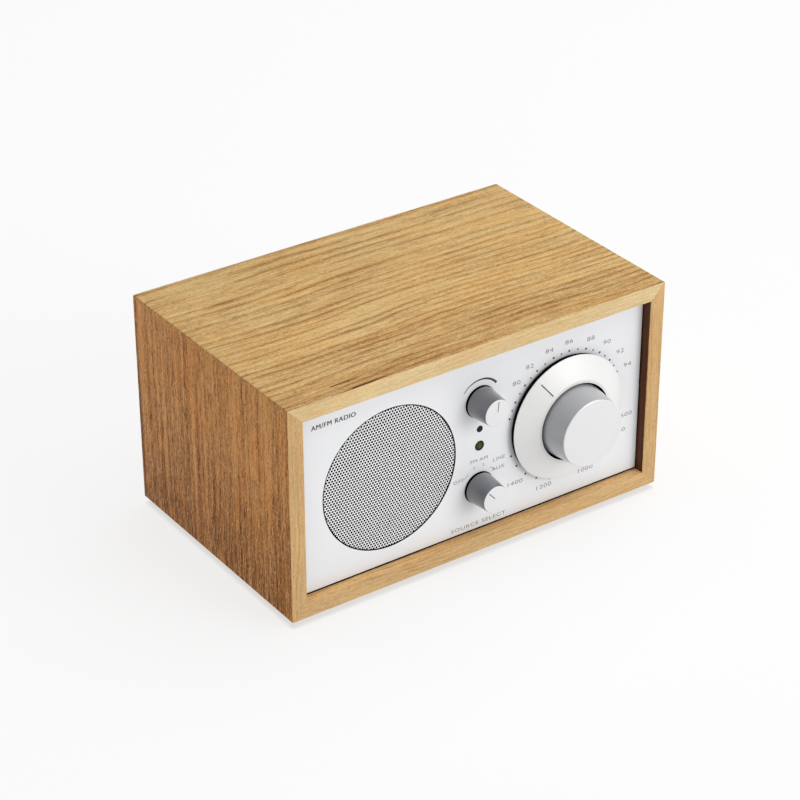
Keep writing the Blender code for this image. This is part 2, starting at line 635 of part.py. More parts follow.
def socket_profile(name, radius):
    """A socket's turned outline, from its inner end to the end that a plug enters."""
    inner = REAR_INNER + 9.0
    face = REAR_FACE - 1.9
    if name == "power_inlet":
        hole, pin, bottom = 2.9, 1.1, REAR_INNER + 6.0
        return [
            (0, inner), (radius, inner), (radius, face), (hole, face), (hole, bottom), (pin, bottom),
            (pin, face + 1.0), (0, face + 1.0),
        ]
    if name == "aerial_socket":
        face = CABINET_REAR + 0.5
        hole, bottom = 3.7, REAR_FACE
    else:
        hole, bottom = 1.8, inner - 1.5
    return [(0, inner), (radius, inner), (radius, face), (hole, face), (hole, bottom), (0, bottom)]


def make_radio():
    start_scene()
    wood = make_material("cherry_veneer", (0.54, 0.35, 0.155), 0.45)
    rubber = make_material("foot_rubber", (0.02, 0.02, 0.02), 0.8)
    silver = make_material("silver_panel", (0.72, 0.73, 0.74), 0.45, 0.3)
    mesh_metal = make_material("grille_metal", (0.45, 0.45, 0.46), 0.5, 0.6)
    colours = {
        "rubber": rubber,
        "knob": make_material("satin_silver", (0.70, 0.70, 0.71), 0.32, 0.9),
        "dial": make_material("satin_dial", (0.76, 0.77, 0.78), 0.38, 0.6),
        "steel": make_material("zinc_steel", (0.55, 0.55, 0.56), 0.4, 1.0),
        "nickel": make_material("nickel_plate", (0.66, 0.65, 0.62), 0.25, 1.0),
        "brass": make_material("gear_brass", (0.65, 0.45, 0.18), 0.35, 1.0),
        "copper": make_material("copper_wire", (0.70, 0.32, 0.17), 0.4, 1.0),
        "aluminium": make_material("bare_aluminium", (0.75, 0.75, 0.76), 0.45, 1.0),
        "black_metal": make_material("black_steel", (0.02, 0.02, 0.022), 0.5, 0.4),
        "black_plastic": make_material("black_plastic", (0.02, 0.02, 0.021), 0.45),
        "white_plastic": make_material("white_plastic", (0.78, 0.77, 0.74), 0.5),
        "board": make_material("circuit_board", (0.03, 0.14, 0.05), 0.5),
        "paper": make_material("cone_paper", (0.05, 0.05, 0.05), 0.9),
        "fabric": make_material("spider_fabric", (0.45, 0.28, 0.10), 0.9),
        "ferrite": make_material("ferrite", (0.05, 0.05, 0.055), 0.6),
        "plain_wood": make_material("plain_wood", (0.50, 0.34, 0.18), 0.7),
    }
    base = axis_empty("base_frame", None, 0.0, 0.0)
    front = axis_empty("front_frame", None, 0.0, PANEL_WORLD_Y, FOOT_HEIGHT)
    front.rotation_euler = (math.pi / 2, 0.0, 0.0)
    make_cabinet(front, base, wood, rubber)
    make_front_panel(front, silver, mesh_metal)
    make_speaker(front, colours)
    make_lights(front, colours)
    make_small_control(front, "volume", VOLUME_Y, "volume_potentiometer", 8.5, 10.0, colours)
    make_small_control(front, "source", SOURCE_Y, "source_switch", 10.0, 13.2, colours)
    dial_axis = axis_empty("dial_axis", front, *DIAL_MIDDLE)
    make_tuning(dial_axis, colours)
    make_dial(dial_axis, colours)
    make_gears(dial_axis, colours)
    make_tuning_capacitor(dial_axis, colours)
    make_electronics(front, colours)
    make_rear(front, colours)


make_radio()
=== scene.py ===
"""Looks for the table radio: fine surfaces, printed scales, materials, floor, lights and camera.

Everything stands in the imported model's own frame: metres, +Z up, the front facing -Y.
Sizes in this file are millimetres, apart from the floor's and the lights'.
"""

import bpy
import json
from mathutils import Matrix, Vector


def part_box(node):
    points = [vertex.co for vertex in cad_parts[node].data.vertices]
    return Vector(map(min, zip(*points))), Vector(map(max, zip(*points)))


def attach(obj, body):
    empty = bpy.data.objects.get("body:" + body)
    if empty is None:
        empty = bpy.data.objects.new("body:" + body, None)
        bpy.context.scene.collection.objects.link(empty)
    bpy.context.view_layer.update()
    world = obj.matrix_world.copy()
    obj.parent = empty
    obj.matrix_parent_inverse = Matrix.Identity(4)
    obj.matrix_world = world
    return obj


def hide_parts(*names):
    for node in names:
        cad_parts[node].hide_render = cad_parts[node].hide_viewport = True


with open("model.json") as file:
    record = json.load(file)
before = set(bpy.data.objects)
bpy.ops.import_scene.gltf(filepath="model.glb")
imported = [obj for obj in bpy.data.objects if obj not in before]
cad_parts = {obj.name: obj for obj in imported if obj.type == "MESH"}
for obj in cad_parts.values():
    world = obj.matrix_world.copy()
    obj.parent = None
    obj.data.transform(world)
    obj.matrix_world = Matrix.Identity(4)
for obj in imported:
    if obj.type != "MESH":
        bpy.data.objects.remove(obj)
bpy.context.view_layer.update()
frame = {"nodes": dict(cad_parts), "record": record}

import json
import math

import bmesh
import bpy
from mathutils import Matrix, Vector
from mathutils.geometry import delaunay_2d_cdt

MM = 0.001
FULL_TURN = 2 * math.pi
ROOT = "radio"

# ---------------------------------------------------------------- places read from the frame


def corners(node):
    """A CAD node's lowest and highest corners, in millimetres."""
    low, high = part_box(node)
    return Vector(low) / MM, Vector(high) / MM


def middle(node):
    """The middle of a CAD node's box."""
    low, high = corners(node)
    return (low + high) / 2


def front_radius(node):
    """The radius of a piece that is turned about a line from front to rear."""
    low, high = corners(node)
    return (high.x - low.x) / 2


left_low = corners("cabinet_left")[0]
right_high = corners("cabinet_right")[1]
cabinet_low = Vector((left_low.x, left_low.y, corners("cabinet_bottom")[0].z))
cabinet_high = Vector((right_high.x, right_high.y, corners("cabinet_top")[1].z))
board = corners("cabinet_top")[1].z - corners("cabinet_top")[0].z
panel_face = corners("front_panel")[0].y
rear_face = corners("rear_panel")[1].y
speaker_middle = middle("speaker_grille")
dial_middle = middle("dial_ring")
volume_middle = middle("volume_knob")
source_middle = middle("source_knob")

# ---------------------------------------------------------------- mesh tools


def facing(x, z, y=None, rear=False):
    """The place of a piece on the panel: its local X runs right, Y up and Z out of the panel."""
    turn = Matrix.Rotation(math.pi / 2, 4, "X")
    if rear:
        turn = Matrix.Rotation(math.pi, 4, "Z") @ turn
    return Matrix.Translation(Vector((x, panel_face if y is None else y, z)) * MM) @ turn


def finish_mesh(name, shape, place, sharp_angle=35.0):
    """Turns a bmesh in millimetres into an object."""
    bmesh.ops.recalc_face_normals(shape, faces=shape.faces[:])
    bmesh.ops.scale(shape, vec=(MM, MM, MM), verts=shape.verts[:])
    mesh = bpy.data.meshes.new(name)
    shape.to_mesh(mesh)
    shape.free()
    mesh.shade_smooth()
    mesh.set_sharp_from_angle(angle=math.radians(sharp_angle))
    piece = bpy.data.objects.new(name, mesh)
    bpy.context.scene.collection.objects.link(piece)
    piece.matrix_world = place
    return piece


def settle(piece, body, look, stands_for=()):
    """Gives a piece its body, its look and the CAD nodes that it replaces."""
    piece.data.materials.append(materials[look])
    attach(piece, body)
    if stands_for:
        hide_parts(*stands_for)


def softened(profile, radius, steps=4, closed=True):
    """Rounds the corners of a profile with short curves."""
    rounded = []
    count = len(profile)
    for i, corner in enumerate(profile):
        if not closed and i in (0, count - 1):
            rounded.append(Vector(corner))
            continue
        here = Vector(corner)
        before = Vector(profile[i - 1]) - here
        after = Vector(profile[(i + 1) % count]) - here
        reach = min(radius, before.length * 0.45, after.length * 0.45)
        start = here + before.normalized() * reach
        end = here + after.normalized() * reach
        for step in range(steps + 1):
            t = step / steps
            rounded.append(start * (1 - t) ** 2 + here * 2 * t * (1 - t) + end * t ** 2)
    return [(point.x, point.y) for point in rounded]


def turned(name, profile, place, closed=True, steps=96):
    """Turns a profile of (radius, height) points about the place's Z."""
    shape = bmesh.new()
    points = [shape.verts.new((r, 0.0, h)) for r, h in profile]
    count = len(points)
    edge_count = count if closed else count - 1
    edges = [shape.edges.new((points[i], points[(i + 1) % count])) for i in range(edge_count)]
    bmesh.ops.spin(
        shape, geom=points + edges, cent=(0, 0, 0), axis=(0, 0, 1), angle=FULL_TURN, steps=steps,
        use_merge=True,
    )
    bmesh.ops.remove_doubles(shape, verts=shape.verts[:], dist=0.0005)
    return finish_mesh(name, shape, place)


def circle(radius, x=0.0, y=0.0, sides=64):
    """A circle's outline about (x, y)."""
    angles = [FULL_TURN * i / sides for i in range(sides)]
    return [(x + radius * math.cos(a), y + radius * math.sin(a)) for a in angles]


def rectangle(low_x, low_y, high_x, high_y):
    """A rectangle's outline."""
    return [(low_x, low_y), (high_x, low_y), (high_x, high_y), (low_x, high_y)]


def clocked(radius, clock):
    """A point on a circle; the clock angle runs clockwise from the top, in degrees."""
    a = math.radians(clock)
    return radius * math.sin(a), radius * math.cos(a)


def thicken(shape, faces, thickness):
    """Gives flat faces a thickness, downwards from where they lie."""
    grown = bmesh.ops.extrude_face_region(shape, geom=faces, use_keep_orig=True)
    lower = [item for item in grown["geom"] if isinstance(item, bmesh.types.BMVert)]
    bmesh.ops.translate(shape, verts=lower, vec=(0.0, 0.0, -thickness))


def add_plate(shape, outlines, low, high):
    """Adds a flat plate with straight sides; an outline inside another is a hole."""
    edges = []
    for outline in outlines:
        points = [shape.verts.new((x, y, high)) for x, y in outline]
        edges += [shape.edges.new((a, b)) for a, b in zip(points, points[1:] + points[:1])]
    filled = bmesh.ops.triangle_fill(shape, edges=edges, use_beauty=True)
    faces = [item for item in filled["geom"] if isinstance(item, bmesh.types.BMFace)]
    thicken(shape, faces, high - low)


def plate(name, outlines, low, high, place):
    """A flat plate as an object of its own."""
    shape = bmesh.new()
    add_plate(shape, outlines, low, high)
    return finish_mesh(name, shape, place)


def repaint(piece, look, test):
    """Gives another look to the faces whose middle and normal pass a test."""
    piece.data.materials.append(materials[look])
    index = len(piece.data.materials) - 1
    for face in piece.data.polygons:
        if test(face.center / MM, face.normal):
            face.material_index = index


def is_side(centre, normal):
    """Whether a turned piece's face looks sideways and not along its axis."""
    return abs(normal.z) < 0.6


# ---------------------------------------------------------------- materials


class Graph:
    """A material's node tree, with short calls for the nodes that these materials use."""

    def __init__(self, name, roughness=0.5, metallic=0.0, colour=(0.5, 0.5, 0.5)):
        self.material = bpy.data.materials.new(name)
        self.material.use_nodes = True
        self.nodes = self.material.node_tree.nodes
        self.links = self.material.node_tree.links
        self.shader = self.nodes["Principled BSDF"]
        self.shader.inputs["Base Color"].default_value = (*colour, 1.0)
        self.shader.inputs["Roughness"].default_value = roughness
        self.shader.inputs["Metallic"].default_value = metallic

    def put(self, socket, value):
        """Links a socket to another one's value, or sets it to a number or a colour."""
        if isinstance(value, bpy.types.NodeSocket):
            self.links.new(value, socket)
        elif isinstance(value, tuple) and len(value) == 3 and socket.type == "RGBA":
            socket.default_value = (*value, 1.0)
        else:
            socket.default_value = value

    def math(self, operation, first, second=0.0, third=0.0):
        """One arithmetic step on up to three numbers."""
        node = self.nodes.new("ShaderNodeMath")
        node.operation = operation
        for socket, value in zip(node.inputs, (first, second, third)):
            self.put(socket, value)
        return node.outputs[0]

    def spread(self, value, low, high, new_low, new_high):
        """Maps a range to another one, held at its ends."""
        node = self.nodes.new("ShaderNodeMapRange")
        names = ("From Min", "From Max", "To Min", "To Max")
        for name, number in zip(names, (low, high, new_low, new_high)):
            node.inputs[name].default_value = number
        self.put(node.inputs["Value"], value)
        return node.outputs["Result"]

    def place(self):
        """The point on the piece, in millimetres."""
        source = self.nodes.new("ShaderNodeTexCoord")
        scale = self.nodes.new("ShaderNodeVectorMath")
        scale.operation = "SCALE"
        scale.inputs["Scale"].default_value = 1 / MM
        self.links.new(source.outputs["Object"], scale.inputs[0])
        split = self.nodes.new("ShaderNodeSeparateXYZ")
        self.links.new(scale.outputs[0], split.inputs[0])
        return split.outputs

    def vector(self, x, y, z):
        """Three numbers as a vector."""
        node = self.nodes.new("ShaderNodeCombineXYZ")
        for socket, value in zip(node.inputs, (x, y, z)):
            self.put(socket, value)
        return node.outputs[0]

    def noise(self, vector, detail=2.0, roughness=0.5):
        """Noise whose lumps are about one unit of the vector across."""
        node = self.nodes.new("ShaderNodeTexNoise")
        node.inputs["Scale"].default_value = 1.0
        node.inputs["Detail"].default_value = detail
        node.inputs["Roughness"].default_value = roughness
        self.links.new(vector, node.inputs["Vector"])
        return node.outputs[0]

    def mix(self, amount, first, second, blend="MIX"):
        """A blend of two colours; with "MULTIPLY" the second one tints the first."""
        node = self.nodes.new("ShaderNodeMix")
        node.data_type = "RGBA"
        node.blend_type = blend
        first_colour, second_colour = node.inputs[6], node.inputs[7]
        self.put(node.inputs["Factor"], amount)
        self.put(first_colour, first)
        self.put(second_colour, second)
        return node.outputs[2]

    def ramp(self, value, stops):
        """A grey ramp: stops are (position, brightness)."""
        node = self.nodes.new("ShaderNodeValToRGB")
        while len(node.color_ramp.elements) < len(stops):
            node.color_ramp.elements.new(0.5)
        for element, (position, brightness) in zip(node.color_ramp.elements, stops):
            element.position = position
            element.color = (brightness, brightness, brightness, 1.0)
        self.put(node.inputs[0], value)
        return node.outputs[0]

    def scaled(self, point, factor):
        """A point's three numbers times a factor, as a vector."""
        return self.vector(*[self.math("MULTIPLY", axis, factor) for axis in point])

    def finished(self, colour, roughness, height, depth_mm):
        """The material, with its colour, its roughness and a relief of a height from 0 to 1."""
        self.put(self.shader.inputs["Base Color"], colour)
        self.put(self.shader.inputs["Roughness"], roughness)
        node = self.nodes.new("ShaderNodeBump")
        node.inputs["Strength"].default_value = 1.0
        node.inputs["Distance"].default_value = depth_mm * MM
        self.put(node.inputs["Height"], height)
        self.links.new(node.outputs[0], self.shader.inputs["Normal"])
        return self.material


NOISE_SPAN = (0.3, 0.7)  # nearly all of a noise's values lie between these
GROWTH_PROFILE = ((0.0, 0.0), (0.18, 0.06), (0.50, 0.45), (0.62, 1.0), (0.74, 0.40), (1.0, 0.0))
FACE_GROWTH = (0.28, -0.00053)  # growth lines per millimetre at the front, and its change per millimetre
SLOW_WANDER = 18.0
QUICK_WANDER = 3.0
WOOD_TONE = 0.20  # how far plain wood lies from the light colour towards the dark one
CONTRAST_PIVOT = 0.16
RUDDY = (1.0, 0.86, 0.70)
FLECK_COLOUR = (0.045, 0.018, 0.007)


class Veneer(Graph):
    """Sliced veneer: thin growth lines, fibres, pores and cloudy patches.

    along and across are the axes (0, 1, 2) of the grain and of the face's width. The place along
    the grain is turn * axis + shift, so that a pattern can run on round a corner.
    """

    def __init__(self, name, seed, along, across, turn, shift):
        super().__init__(name)
        point = self.place()
        self.seed = seed
        self.height = point[2]
        self.u = self.math("MULTIPLY_ADD", point[along], turn, shift)
        self.v = self.math("SUBTRACT", point[across], cabinet_low.y if across == 1 else 0.0)
        self.w = point[3 - along - across]

    def stretched(self, along_scale, across_scale, third):
        """The place on the face, scaled along and across the grain."""
        u = self.math("MULTIPLY", self.u, along_scale)
        v = self.math("MULTIPLY", self.v, across_scale)
        return self.vector(u, v, third)

    def patches(self, along_scale, across_scale, layer, detail, roughness=0.5):
        """Noise whose lumps are 1 / scale long and wide; each layer has a pattern of its own."""
        place = self.stretched(along_scale, across_scale, self.seed + layer)
        return self.noise(place, detail, roughness)

    def fibres(self):
        """Fine fibres, which run through the board's thickness as well."""
        scale = 2.2
        return self.noise(self.stretched(0.11, scale, self.math("MULTIPLY", self.w, scale)), 4.0, 0.7)

    def growth_lines(self, growth):
        """Dark lines that wander together, each with a strength of its own."""
        slow = self.patches(0.007, 0.012, 0, 1.0)
        quick = self.patches(0.03, 0.06, 7, 2.0)
        quick_part = self.math("MULTIPLY", quick, QUICK_WANDER)
        wander = self.math("MULTIPLY_ADD", slow, SLOW_WANDER, quick_part)
        centred = self.math("SUBTRACT", wander, (SLOW_WANDER + QUICK_WANDER) / 2)
        depth = self.math("ADD", self.v, centred)
        phase = self.math("MULTIPLY", depth, self.math("MULTIPLY_ADD", depth, growth[1], growth[0]))
        line = self.ramp(self.math("FRACT", phase), GROWTH_PROFILE)
        number = self.math("MULTIPLY", self.math("FLOOR", phase), 3.7)
        own = self.noise(self.vector(number, self.math("MULTIPLY", self.u, 0.01), self.seed), 1.0)
        return self.math("MULTIPLY", line, self.spread(own, 0.36, 0.66, 0.15, 1.0))

    def reddened(self, colour):
        """Turns patches of a colour ruddy."""
        patch = self.spread(self.patches(0.02, 0.07, 11, 2.0), 0.42, 0.68, 0.0, 0.65)
        return self.mix(patch, colour, self.mix(1.0, colour, RUDDY, "MULTIPLY"))

    def flecked(self, colour, start_u, start_v, end_u, end_v, half_width, depth):
        """Adds a thin dark fleck, sharp where it starts and fading to its end."""
        t = self.spread(self.u, start_u, end_u, 0.0, 1.0)
        start = self.spread(t, 0.0, 0.06, 0.0, 1.0)
        ends = self.math("MULTIPLY", start, self.spread(t, 0.55, 1.0, 1.0, 0.0))
        middle_v = self.math("MULTIPLY_ADD", t, end_v - start_v, start_v)
        away = self.math("ABSOLUTE", self.math("SUBTRACT", self.v, middle_v))
        inside = self.spread(away, half_width * 0.4, half_width, depth, 0.0)
        return self.mix(self.math("MULTIPLY", inside, ends), colour, FLECK_COLOUR)


def wood(name, light, dark, seed, along=0, across=1, turn=1.0, shift=0.0, growth=FACE_GROWTH,
         line_strength=0.75, streaks=0.0, fibres=1.0, contrast=1.0, painted_foot_shade=0.0, painted_front_shade=0.0,
         gloss=0.15, flecks=()):
    """A veneer's material.

    line_strength, streaks and fibres set how strong the growth lines, the broad streaks and the
    fine fibres are; painted_foot_shade paints shade that darkens a face towards its foot, and
    painted_front_shade paints shade that darkens it towards the front.
    """
    veneer = Veneer(name, seed, along, across, turn, shift)
    fibre = veneer.fibres()
    pore = veneer.spread(veneer.patches(0.55, 2.4, 1, 2.0), 0.58, 0.68, 0.0, 1.0)
    gleam = veneer.spread(veneer.patches(0.45, 2.0, 5, 2.0), 0.56, 0.70, 0.0, 1.0)
    cloud = veneer.spread(veneer.patches(0.018, 0.05, 3, 2.0), *NOISE_SPAN, -0.08, 0.10)
    amount = veneer.spread(fibre, *NOISE_SPAN, -0.32 * fibres, 0.34 * fibres)
    amount = veneer.math("MULTIPLY_ADD", veneer.growth_lines(growth), line_strength, amount)
    amount = veneer.math("MULTIPLY_ADD", pore, 0.42 * fibres, amount)
    amount = veneer.math("MULTIPLY_ADD", gleam, -0.36 * fibres, amount)
    if streaks:
        streak = veneer.patches(0.005, 0.30, 9, 3.0, 0.6)
        amount = veneer.math("ADD", amount, veneer.spread(streak, 0.32, 0.68, -streaks, streaks))
    # Painted shade: darker towards the front edge, over the first 40 mm.
    if painted_front_shade:
        amount = veneer.math("ADD", amount, veneer.spread(veneer.v, 0.0, 40.0, painted_front_shade, 0.0))
    amount = veneer.math("ADD", amount, cloud)
    amount = veneer.math("MULTIPLY_ADD", amount, contrast, CONTRAST_PIVOT * (1 - contrast) + WOOD_TONE)
    # Painted shade: darker towards the face's foot, from 75 mm down to 10 mm.
    if painted_foot_shade:
        amount = veneer.math("ADD", amount, veneer.spread(veneer.height, 10.0, 75.0, painted_foot_shade, 0.0))
    colour = veneer.reddened(veneer.mix(veneer.spread(amount, 0.0, 1.0, 0.0, 1.0), light, dark))
    for fleck in flecks:
        colour = veneer.flecked(colour, *fleck)
    veneer.shader.inputs["Specular IOR Level"].default_value = gloss
    rough = veneer.spread(fibre, *NOISE_SPAN, 0.46, 0.58)
    relief = veneer.math("MULTIPLY_ADD", pore, -0.6, veneer.math("MULTIPLY", fibre, 0.5))
    return veneer.finished(colour, rough, relief, 0.03)


def fine_paint(name, colour, roughness, metallic=0.0, grain_mm=0.25, depth_mm=0.004, variation=0.03,
               shine=0.5):
    """Paint, moulded plastic or plated metal: an even colour with a fine grain and faint clouds."""
    graph = Graph(name, roughness, metallic)
    graph.shader.inputs["Specular IOR Level"].default_value = shine
    point = graph.place()
    grain = graph.noise(graph.scaled(point, 1 / grain_mm), 3.0)
    cloud = graph.noise(graph.scaled(point, 0.03), 2.0)
    darker = tuple(channel * (1 - variation * 2) for channel in colour)
    blend = graph.math("MULTIPLY_ADD", grain, 0.6, graph.math("MULTIPLY", cloud, 0.4))
    blend = graph.spread(blend, *NOISE_SPAN, 0.0, 1.0)
    rough = graph.spread(grain, *NOISE_SPAN, roughness - 0.03, roughness + 0.03)
    return graph.finished(graph.mix(blend, darker, colour), rough, grain, depth_mm)


def turned_metal(name, colour, roughness, metallic, coat=0.0):
    """Satin metal turned on a lathe: its faint rings run round the piece's own Z."""
    ring_mm = 0.12
    ring_depth_mm = 0.002
    graph = Graph(name, roughness, metallic)
    graph.shader.inputs["Coat Weight"].default_value = coat
    graph.shader.inputs["Coat Roughness"].default_value = 0.22
    x, y, z = graph.place()
    square = graph.math("ADD", graph.math("MULTIPLY", x, x), graph.math("MULTIPLY", y, y))
    radius = graph.math("SQRT", square)
    rings = graph.vector(graph.math("DIVIDE", radius, ring_mm), graph.math("DIVIDE", z, ring_mm), 0.0)
    lathe = graph.noise(rings, 2.0)
    speck = graph.noise(graph.scaled((x, y, z), 6.0), 2.0)
    darker = tuple(channel * 0.93 for channel in colour)
    blend = graph.math("MULTIPLY_ADD", lathe, 0.5, graph.math("MULTIPLY", speck, 0.5))
    blend = graph.spread(blend, *NOISE_SPAN, 0.0, 1.0)
    rough = graph.spread(lathe, *NOISE_SPAN, roughness - 0.05, roughness + 0.05)
    return graph.finished(graph.mix(blend, darker, colour), rough, lathe, ring_depth_mm)


LIGHT_WOOD = (0.755, 0.525, 0.228)
DARK_WOOD = (0.255, 0.108, 0.022)
# The left side's colours are darker and redder than the top's: painted shade of the less lit side.
SHADED_SIDE_LIGHT = (0.78, 0.385, 0.142)
SHADED_SIDE_DARK = (0.125, 0.036, 0.007)
RAIL_LIGHT = (0.76, 0.60, 0.33)
RAIL_DARK = (0.40, 0.23, 0.09)
STILE_LIGHT = (0.67, 0.445, 0.21)
STILE_DARK = (0.30, 0.15, 0.045)
# The inner walls' colours are very dark: painted shade of the recess round the panel.
SHADED_WALL_LIGHT = (0.13, 0.044, 0.016)
SHADED_WALL_DARK = (0.045, 0.015, 0.006)
# The ledge's colours are paler than the edges': painted light from overhead on the bottom board's inner
# face.
LIT_LEDGE_LIGHT = (0.86, 0.56, 0.26)
LIT_LEDGE_DARK = (0.34, 0.14, 0.035)
EDGE_GROWTH = (0.45, 0.0)  # the boards' solid edges have closer, even lines
CORNER_TURN = cabinet_high.x + cabinet_high.z  # carries the top's grain on down the sides
# Each fleck: where it starts and ends along and across the top, its half width and its depth.
FLECKS = (
    (-79.7, 7.2, -61.0, 7.7, 0.60, 0.9),
    (-72.9, 0.6, -49.0, 1.5, 0.75, 1.0),
)
materials = {
    # The top's veneer, with painted shade darkening it towards the front edge.
    "top": wood(
        "veneer_top", LIGHT_WOOD, DARK_WOOD, 2.0, streaks=0.10, fibres=1.3, painted_front_shade=0.26,
        flecks=FLECKS,
    ),
    "bottom": wood("veneer_bottom", LIGHT_WOOD, DARK_WOOD, 12.0),
    # The left side's veneer: painted shade in its darker, redder colours, and painted shade towards its
    # foot.
    "left": wood(
        "veneer_left_painted_shade", SHADED_SIDE_LIGHT, SHADED_SIDE_DARK, 2.0, along=2, shift=-CORNER_TURN,
        line_strength=0.32, streaks=0.30, fibres=2.2, painted_foot_shade=0.36, gloss=0.04,
    ),
    "right": wood(
        "veneer_right", LIGHT_WOOD, DARK_WOOD, 2.0, along=2, turn=-1.0, shift=CORNER_TURN,
        line_strength=0.4, streaks=0.20, fibres=1.5,
    ),
    "ledge": wood(
        "veneer_ledge_painted_light", LIT_LEDGE_LIGHT, LIT_LEDGE_DARK, 61.0, growth=EDGE_GROWTH, line_strength=0.5,
    ),
    "wall": wood("veneer_wall_painted_shade", SHADED_WALL_LIGHT, SHADED_WALL_DARK, 52.0, along=2),
    "rail": wood(
        "edge_rail", RAIL_LIGHT, RAIL_DARK, 31.0, across=2, growth=EDGE_GROWTH, line_strength=0.40,
        contrast=0.8,
    ),
    "sill": wood(
        "edge_sill", STILE_LIGHT, STILE_DARK, 33.0, across=2, growth=EDGE_GROWTH, line_strength=0.4,
    ),
    "stile": wood(
        "edge_stile", STILE_LIGHT, STILE_DARK, 37.0, along=2, across=0, growth=EDGE_GROWTH,
        line_strength=0.40, contrast=0.8,
    ),
    "panel": fine_paint("panel_silver", (0.80, 0.805, 0.82), 0.50, 0.10, 0.18, 0.003, 0.015),
    # Painted shadow: black for the panel's cut edges and hole walls.
    "panel_edge_shadow_black": fine_paint("panel_edge_shadow_black", (0.02, 0.02, 0.02), 0.9, shine=0.05),
    "grille": fine_paint("grille_silver", (0.93, 0.93, 0.94), 0.48, 0.1, 0.3, 0.003, 0.02),
    "knob": turned_metal("satin_knob_face", (0.775, 0.775, 0.785), 0.38, 0.35),
    # Painted shade: the knobs' sides are darker copies of their silver faces.
    "shaded_knob_side": turned_metal("satin_knob_side_painted_shade", (0.44, 0.455, 0.475), 0.42, 0.05, coat=1.0),
    "shaded_small_knob_side": turned_metal("satin_small_knob_side_painted_shade", (0.165, 0.17, 0.19), 0.42, 0.05, coat=1.0),
    "dial": turned_metal("satin_dial", (0.83, 0.825, 0.815), 0.48, 0.12),
    "black": fine_paint("black_plastic", (0.018, 0.018, 0.019), 0.5, 0.0, 0.4, 0.01, 0.1),
    # Painted shadow: near-black for the gaps, the wells and round the controls, where there is only
    # shade; the cloth behind the grille is partly real.
    "painted_shadow_black": fine_paint(
        "shadow_black", (0.004, 0.004, 0.004), 0.95, 0.0, 0.4, 0.01, 0.1, shine=0.02,
    ),
    "rubber": fine_paint("foot_rubber", (0.022, 0.022, 0.022), 0.8, 0.0, 0.5, 0.02, 0.1),
    "ink": fine_paint("printed_ink", (0.035, 0.035, 0.04), 0.6, 0.0, 0.1, 0.001, 0.05),
    "grey_ink": fine_paint("printed_grey_ink", (0.20, 0.20, 0.21), 0.6, 0.0, 0.1, 0.001, 0.05),
    "pointer": fine_paint("pointer_fill", (0.07, 0.07, 0.075), 0.5, 0.0, 0.1, 0.001, 0.05),
    "lens": fine_paint(
        "smoked_lens", (0.010, 0.014, 0.010), 0.3, 0.0, 2.0, 0.0005, 0.05, shine=0.2,
    ),
    "green_lens": fine_paint(
        "green_lens", (0.060, 0.068, 0.010), 0.3, 0.0, 2.0, 0.0005, 0.1, shine=0.2,
    ),
}

# ---------------------------------------------------------------- cabinet


BOARD_GAP = 0.02
CORNER_RADIUS = 0.7  # the cabinet's long corners, where two boards meet
EDGE_EASE = 0.45  # the arrises round the front and the rear
MITRE_GAP = 0.03


def board_outline(half_length, outer, inner, inset):
    """A mitred board seen from the front, as (along, across) points; inset draws it in all round."""
    corner_steps = 3
    sign = 1 if outer > inner else -1
    broad = outer - sign * inset
    narrow = inner + sign * inset
    radius = max(CORNER_RADIUS - inset, 0.1)
    half = half_length - inset - MITRE_GAP
    narrow_half = half_length - MITRE_GAP - abs(outer - narrow)
    arc = []
    for step in range(corner_steps + 1):
        a = math.radians(45 + 45 * step / corner_steps)
        arc.append((half - radius * (1 - math.cos(a)), broad - sign * radius * (1 - math.sin(a))))
    left = [(-along, across) for along, across in arc]
    return [(-narrow_half, narrow)] + left + arc[::-1] + [(narrow_half, narrow)]


def add_board(name, upright, outer, inner, half_length, middle_z, edge, wall):
    """One mitred board with eased arrises; edge and wall are the looks of its ends and inner face."""
    ease_steps = 4
    front, rear = cabinet_low.y, cabinet_high.y
    eased = []
    for step in range(ease_steps + 1):
        a = math.radians(90 * step / ease_steps)
        eased.append((EDGE_EASE * (1 - math.cos(a)), EDGE_EASE * (1 - math.sin(a))))
    sections = [(front + depth, inset) for depth, inset in eased]
    sections += [(rear - depth, inset) for depth, inset in eased[::-1]]
    shape = bmesh.new()
    rows = []
    for y, inset in sections:
        outline = board_outline(half_length, outer, inner, inset)
        if upright:
            rows.append([shape.verts.new((across, y, along + middle_z)) for along, across in outline])
        else:
            rows.append([shape.verts.new((along, y, across)) for along, across in outline])
    shape.faces.new(rows[0])
    shape.faces.new(rows[-1])
    for near, far in zip(rows, rows[1:]):
        for i, vertex in enumerate(near):
            shape.faces.new((vertex, near[i - 1], far[i - 1], far[i]))
    piece = finish_mesh(f"{name}_board", shape, Matrix.Identity(4), 40.0)
    settle(piece, ROOT, name, [f"cabinet_{name}"])
    inward = 1 if inner > outer else -1
    thin_axis = 0 if upright else 2
    repaint(piece, edge, lambda centre, normal: abs(normal.y) > 0.75)
    repaint(piece, wall, lambda centre, normal: normal[thin_axis] * inward > 0.9)


def make_cabinet():
    """The four boards, mitred at the cabinet's long corners."""
    middle_z = (cabinet_low.z + cabinet_high.z) / 2
    half_width = (cabinet_high.x - cabinet_low.x) / 2
    half_height = (cabinet_high.z - cabinet_low.z) / 2
    low, high = cabinet_low, cabinet_high
    for name, upright, outer, inner, edge, wall in (
        ("top", False, high.z, high.z - board, "rail", "wall"),
        ("bottom", False, low.z, low.z + board, "sill", "ledge"),
        ("left", True, low.x, low.x + board, "stile", "wall"),
        ("right", True, high.x, high.x - board, "stile", "wall"),
    ):
        half_length = half_height if upright else half_width
        add_board(name, upright, outer, inner, half_length, middle_z, edge, wall)


# ---------------------------------------------------------------- front panel and grille


GRILLE_GAP = 0.65


